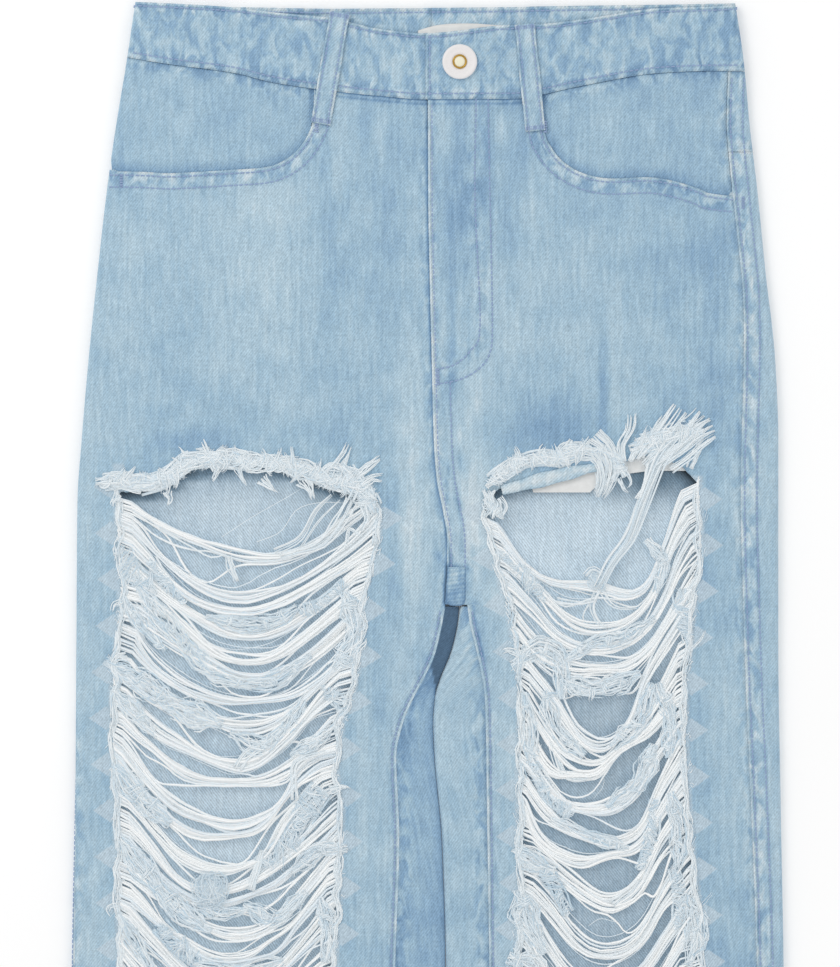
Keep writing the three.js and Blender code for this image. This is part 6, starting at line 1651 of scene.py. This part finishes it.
def sewing_rows(side):
    """All rows of stitches of one side."""
    rows = [on_front(side, row) for row in front_rows(side)]
    down = np.arange(46, LENGTH, 6.0)
    rows += [on_skin(side, rounds(side, down)[2] + by, down) for by in (2.4, 9.8)]

    def under(out, drop, z=None):
        z = underside(drop) + pocket_lift(out, drop) if z is None else z
        rows.append(np.stack(np.broadcast_arrays(side.hand * out, drop, z - THREAD_LIFT), -1))

    # Yoke, centre back and hem on the back.
    out = np.linspace(4, side.edge(80) - 6, 60)
    for by in (2.4, 8.8):
        under(out, yoke_line(side, side.hand * out, True) - by)
    if side.hand < 0:
        back = np.arange(60, 356, 6.0)
        for by in (2.4, 8.8):
            under(side.centre("back", back) + by, back)
    under(np.linspace(side.fold(HEM) + side.rise(HEM) / 2, side.edge(HEM) - 3, 50), HEM, 0)
    # Back pocket.
    q = POCKET
    for by in (2.2, 8.2):
        a, b = q["inner"] + by, q["outer"] - by
        corners = [(a, q["top"] + 1), (a + 3, q["side"] - by * 0.8), ((a + b) / 2, q["point"] - by * 1.1),
                   (b - 3, q["side"] - by * 0.8), (b, q["top"] + 1)]
        path = np.concatenate([np.linspace(*ends, 12) for ends in zip(corners[:-1], corners[1:])])
        under(*path.T, 0)
    under(np.linspace(q["inner"] + 3, q["outer"] - 3, 20), q["top"] + 11, 0)
    # Waistband: along its top and foot, and down the buttoned end.
    lapped = side.hand > 0
    around = np.linspace(LAP_END + 2.6 if lapped else 4, side.edge(20) - 3, 90)
    spots = [(around, read(BAND, "x", column, side.hand * around) + by)
             for column, by in (("top", 2.4), ("bottom", -3.0))]
    if lapped:
        spots.append((LAP_END + 2.6, np.linspace(20.5, 54.5, 12)))
    for out, drop in spots:
        row = on_skin(side, out, drop, high=BAND_LOFT, low=BAND_LIFT)
        row[:, 2] += lap_lift(out) * lapped
        rows.append(row)
    around = np.linspace(2, side.edge(20) - 3, 60)
    for by in (2.6, BAND_DEPTH - 2.6):
        drop = read(BAND, "x", "back", side.hand * around) + by
        under(around, drop, BAND_LIFT)
        if by < 3:
            under(around, drop, BAND_LIFT + BAND_CLOTH + 2 * THREAD_LIFT)
    return rows


def loop_rows(x0, d0, x1, d1, back):
    """Two rows along a belt loop and a bar at each end."""
    def at(t, s):
        x, drop, low = loop_path(x0, d0, x1, d1, t, s)
        return np.stack(np.broadcast_arrays(x, drop, -0.1 if back else low + 1.42), -1)

    rows = [at(np.linspace(0.02, 0.98, 40), s) for s in (-4.0, 4.0)]
    bars = [at(np.full(2, t + by), np.array([-5.2, 5.2])) for t in (0.03, 0.97) for by in (-0.012, 0, 0.012)]
    return rows, bars


def bar_tacks():
    """Close bars of thread at the ends of the pocket openings and the fly."""
    bars = []
    for side in SIDES:
        opening = OPENING[side.name]
        for out, drop in ((abs(side.hand * opening[0][0] + 2), 74), (side.edge(110) - 9, opening[-2][1] + 5)):
            for k in range(3):
                x = side.hand * (out + k * 0.5)
                bars.append(on_front(side, np.array([[x, drop - 3], [x, drop + 3]]), 0.2))
    fly = [np.array([[4.2 + k * 0.5, 219.6], [4.2 + k * 0.5, 228.6]]) for k in range(3)]
    return bars + [on_front(SIDES[1], bar, 0.2) for bar in fly]


# Each part of the button: radius and height of its profile.
BUTTON_PLACE = 17.8, 35.4
BUTTON = {
    "button_face": [(0.4, 0), (9.2, 0), (10.3, 0.5), (10.5, 1.1), (10.2, 1.75), (9.4, 2.05), (8.6, 1.95), (7.6, 1.7),
                    (6.2, 1.62), (5.2, 1.75), (4.8, 1.55), (0.4, 1.5)],
    "button_ring": [(0.4, 1.45), (4.2, 1.5), (4.35, 1.9), (4.05, 2.35), (3.85, 2.5), (3.5, 2.3), (3.3, 1.9),
                    (0.4, 1.85)],
    "button_middle": [(0.2, 1.6), (3.25, 1.7), (3.2, 2.0), (2.6, 2.3), (1.4, 2.5), (0.2, 2.54)],
}


def turned_button(name, *finish):
    """A turned part of the shank button: its pale dished disc, brass ring or enamelled middle."""
    r, z = np.array(BUTTON[name], float).T[..., None]
    a = np.linspace(0, 2 * math.pi, 96, endpoint=False)
    spots = [BUTTON_PLACE[0] + r * np.cos(a), BUTTON_PLACE[1] + r * np.sin(a), z + BAND_LOFT + LAP_RISE + 0.35 + 0 * a]
    index = np.arange(len(r) * len(a)).reshape(len(r), -1)
    nxt = np.roll(index, -1, 1)
    quads = np.stack([index[:-1], index[1:], nxt[1:], nxt[:-1]], -1).reshape(-1, 4)
    return mesh_object(name, metres(np.stack(spots, -1)).reshape(-1, 3), [quads, index[:1], index[-1:, ::-1]],
                       metal(name, *finish))


# Studio


def studio():
    scene = bpy.context.scene
    scene.view_settings.view_transform = "Standard"
    low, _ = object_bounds()
    bpy.ops.mesh.primitive_plane_add(size=8, location=(0, 0, low.z - 0.0004))
    floor = bpy.context.object
    floor.name = "floor"
    n = Nodes("floor")
    value = n.noise(n.out("ShaderNodeTexCoord", output="Object"), 3.0, 2)
    shade = n.mix(value, linear(250, 250, 250), linear(253, 253, 253))
    floor.data.materials.append(n.finish(Base_Color=shade, Roughness=0.95, Specular_IOR_Level=0.05,
                                         Emission_Color=shade, Emission_Strength=0.1))
    floor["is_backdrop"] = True
    world = scene.world = bpy.data.worlds.get("World") or bpy.data.worlds.new("World")
    world.use_nodes = True
    colour, strength = world.node_tree.nodes["Background"].inputs[:2]
    colour.default_value, strength.default_value = (1, 1, 1, 1), 0.78
    for name, where, size, watts in (("key", (-1.1, 1.3, 1.5), 1.0, 9.0), ("fill", (1.5, -0.7, 1.8), 1.8, 3.5)):
        light = bpy.data.lights.new(name, "AREA")
        light.size, light.energy = size, watts
        obj = bpy.data.objects.new(name, light)
        obj.location = where
        obj.rotation_euler = (Vector((0, 0.24, 0)) - Vector(where)).to_track_quat("-Z", "Y").to_euler()
        scene.collection.objects.link(obj)
    # The camera looks straight down on a picture of 840 by 967 pixels of 0.6 mm, whose pixel (430, 3.3) is the origin.
    pixel, high, away = 0.6, 967, 3.0
    data = bpy.data.cameras.new("camera")
    data.sensor_width, data.lens, data.clip_end = 36, 36 * away / (high * pixel / 1000), 20
    camera = scene.camera = bpy.data.objects.new("camera", data)
    scene.collection.objects.link(camera)
    camera.location = (*metres([(420 - 430) * pixel, (high / 2 - 3.3) * pixel, 0])[:2], away + 0.006)


# Add-on


# The loose yarn's thickness in metres, at which the tables' own thicknesses hold.
YARN = 0.0011


class Measures(bpy.types.PropertyGroup):
    """Sizes and colours a user would change."""

    stitch: bpy.props.FloatProperty(name="Stitch pitch", description="Distance from stitch to stitch",
                                    default=0.0031, unit="LENGTH", subtype="DISTANCE")
    gauge: bpy.props.FloatProperty(name="Sewing thread", description="Thickness of the sewing thread",
                                   default=0.00085, unit="LENGTH", subtype="DISTANCE")
    yarn: bpy.props.FloatProperty(name="Loose yarn", description="Thickness of the loose cotton yarn",
                                  default=YARN, unit="LENGTH", subtype="DISTANCE")
    denim: bpy.props.FloatVectorProperty(name="Denim", description="Middle shade of the washed cloth", size=3,
                                         default=linear(*COLOURS["denim"])[:3], min=0, max=1, subtype="COLOR")
    cotton: bpy.props.FloatVectorProperty(name="Loose cotton", description="Shade of the yarns in the rips", size=3,
                                          default=linear(*COLOURS["cotton"])[:3], min=0, max=1, subtype="COLOR")
    thread: bpy.props.FloatVectorProperty(name="Thread", description="Shade of the sewing thread", size=3,
                                          default=linear(*COLOURS["thread"])[:3], min=0, max=1, subtype="COLOR")


def cover(obj, node):
    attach(obj, "root")
    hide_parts(node)


class JEANS_OT_fronts(bpy.types.Operator):
    """Makes the two front panels with their rips and pocket openings"""

    bl_idname = "jeans.fronts"
    bl_label = "Fronts"

    def execute(self, context):
        for side in SIDES:
            cover(front_panel(side), f"front_{side.name}")
        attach(fork_tab(), "root")
        return {"FINISHED"}


class JEANS_OT_backs(bpy.types.Operator):
    """Makes the back panels, yokes, back pockets and pocket facings"""

    bl_idname = "jeans.backs"
    bl_label = "Backs"

    def execute(self, context):
        for side in SIDES:
            cover(back_panel(side), f"back_{side.name}")
            cover(yoke_piece(side), f"yoke_{side.name}")
            cover(back_pocket(side), f"back_pocket_{side.name}")
            cover(facing_piece(side), f"pocket_facing_{side.name}")
        return {"FINISHED"}


class JEANS_OT_waistband(bpy.types.Operator):
    """Makes the waistband and its belt loops"""

    bl_idname = "jeans.waistband"
    bl_label = "Waistband"

    def execute(self, context):
        for side in SIDES:
            cover(band_front(side), f"waistband_front_{side.name}")
        cover(band_back(), "waistband_back")
        for loop in LOOPS:
            cover(belt_loop(*loop), loop[0])
        return {"FINISHED"}


class JEANS_OT_rips(bpy.types.Operator):
    """Hangs the loose yarns, fluff and fringe in the rips"""

    bl_idname = "jeans.rips"
    bl_label = "Frayed rips"

    def execute(self, context):
        for side in SIDES:
            pieces = rip_pieces(side)
            if side.hand > 0:
                pieces.append(turned_strip("turned_edge", TURNED, 4.3))
            for n, obj in enumerate(pieces):
                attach(obj, "root")
                if n == 0:
                    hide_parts(f"rip_web_{side.name}")
        return {"FINISHED"}


class JEANS_OT_sewing(bpy.types.Operator):
    """Sews the seams, hems, belt loops and bar tacks"""

    bl_idname = "jeans.sewing"
    bl_label = "Sewing"

    def execute(self, context):
        sizes = context.scene.jeans
        thread = fibre("sewing_thread", (141, 159, 190), (168, 184, 208), "thread")
        for side in SIDES:
            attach(sewn(f"seams_{side.name}", sewing_rows(side), sizes.stitch, sizes.gauge, thread), "root")
        rows, bars = [], bar_tacks()
        for _, x0, d0, x1, d1, back in LOOPS:
            more, ends = loop_rows(x0, d0, x1, d1, back)
            rows, bars = rows + more, bars + ends
        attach(sewn("loop_seams", rows, sizes.stitch * 0.85, sizes.gauge, thread), "root")
        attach(sewn("bar_tacks", bars, 0.0014, sizes.gauge * 1.1, thread), "root")
        return {"FINISHED"}


class JEANS_OT_lining(bpy.types.Operator):
    """Gives the pocket bags, waist strip, fly, zip and button their finishes"""

    bl_idname = "jeans.lining"
    bl_label = "Lining, zip and button"

    def execute(self, context):
        bag = cotton("pocket_cotton", (244, 245, 244))
        plain = denim("plain_denim", own_uv=False)
        teeth = metal("zip_brass", (190, 150, 80), 0.35, 1.0)
        for node, material in (("pocket_bag_right", bag), ("pocket_bag_left", bag), ("fly_facing", plain),
                               ("fly_shield", plain), ("zip", teeth)):
            obj = bpy.data.objects[node]
            obj.data.materials.clear()
            obj.data.materials.append(material)
        cover(waist_strip(), "waistband_tape")
        cover(turned_button("button_face", (250, 247, 247), 0.5, 0.05), "button_disc")
        cover(turned_button("button_ring", (205, 165, 80), 0.28, 1.0), "button_hub")
        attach(turned_button("button_middle", (255, 250, 224), 0.4, 0.0), "root")
        return {"FINISHED"}


class JEANS_OT_studio(bpy.types.Operator):
    """Sets the floor, light and camera"""

    bl_idname = "jeans.studio"
    bl_label = "Studio"

    def execute(self, context):
        studio()
        return {"FINISHED"}


OPERATORS = [JEANS_OT_fronts, JEANS_OT_backs, JEANS_OT_waistband, JEANS_OT_rips, JEANS_OT_sewing, JEANS_OT_lining,
             JEANS_OT_studio]


class JEANS_PT_panel(bpy.types.Panel):
    """Lists the steps of the jeans"""

    bl_label = "Jeans"
    bl_idname = "JEANS_PT_panel"
    bl_space_type = "VIEW_3D"
    bl_region_type = "UI"
    bl_category = "Jeans"

    def draw(self, context):
        for name in ("stitch", "gauge", "yarn", "denim", "cotton", "thread"):
            self.layout.prop(context.scene.jeans, name)
        for operator in OPERATORS:
            self.layout.operator(operator.bl_idname)


def register():
    for item in (Measures, *OPERATORS, JEANS_PT_panel):
        bpy.utils.register_class(item)
    bpy.types.Scene.jeans = bpy.props.PointerProperty(type=Measures)


def unregister():
    del bpy.types.Scene.jeans
    for item in reversed((Measures, *OPERATORS, JEANS_PT_panel)):
        bpy.utils.unregister_class(item)


def lay(obj, *pieces):
    """Works out the width and length of a piece of cloth's cut, from its UV map or else its size; nothing is done with
    them.
    """
    mesh = obj.data
    if mesh.uv_layers:
        spots = np.empty(len(mesh.loops) * 2, np.float32)
        mesh.uv_layers[0].data.foreach_get("uv", spots)
        width, length = np.ptp(spots.reshape(-1, 2), axis=0)
    else:
        width, length = obj.dimensions[:2]
    width, length = max(float(width), 0.0101), max(float(length), 0.0101)


def declare():
    """Runs lay on all the cloth, with the sewing, yarns and fittings that go with it."""
    get = bpy.data.objects.get
    for side in ("right", "left"):
        torn = [f"rip_{kind}_{side}" for kind in ("yarns", "fluff", "fringe")] + [f"seams_{side}"]
        buttoned = []
        if side == "left":
            torn += ["zip", "bar_tacks"]
            buttoned = ["button_face", "button_ring", "button_middle", "loop_seams"]
        lay(get(f"front_{side}_cloth"), *torn)
        for name in ("back", "yoke", "back_pocket", "pocket_facing"):
            lay(get(f"{name}_{side}_cloth"))
        lay(get(f"waistband_front_{side}_cloth"), *buttoned)
        lay(get(f"pocket_bag_{side}"))
    for name in ("waistband_back_cloth", "fork_tab", "turned_edge", "waist_strip", "fly_facing", "fly_shield",
                 *(loop[0] + "_cloth" for loop in LOOPS)):
        lay(get(name))


def main():
    register()
    for operator in OPERATORS:
        group, name = operator.bl_idname.split(".")
        getattr(getattr(bpy.ops, group), name)()
    declare()


if __name__ == "__main__":
    main()
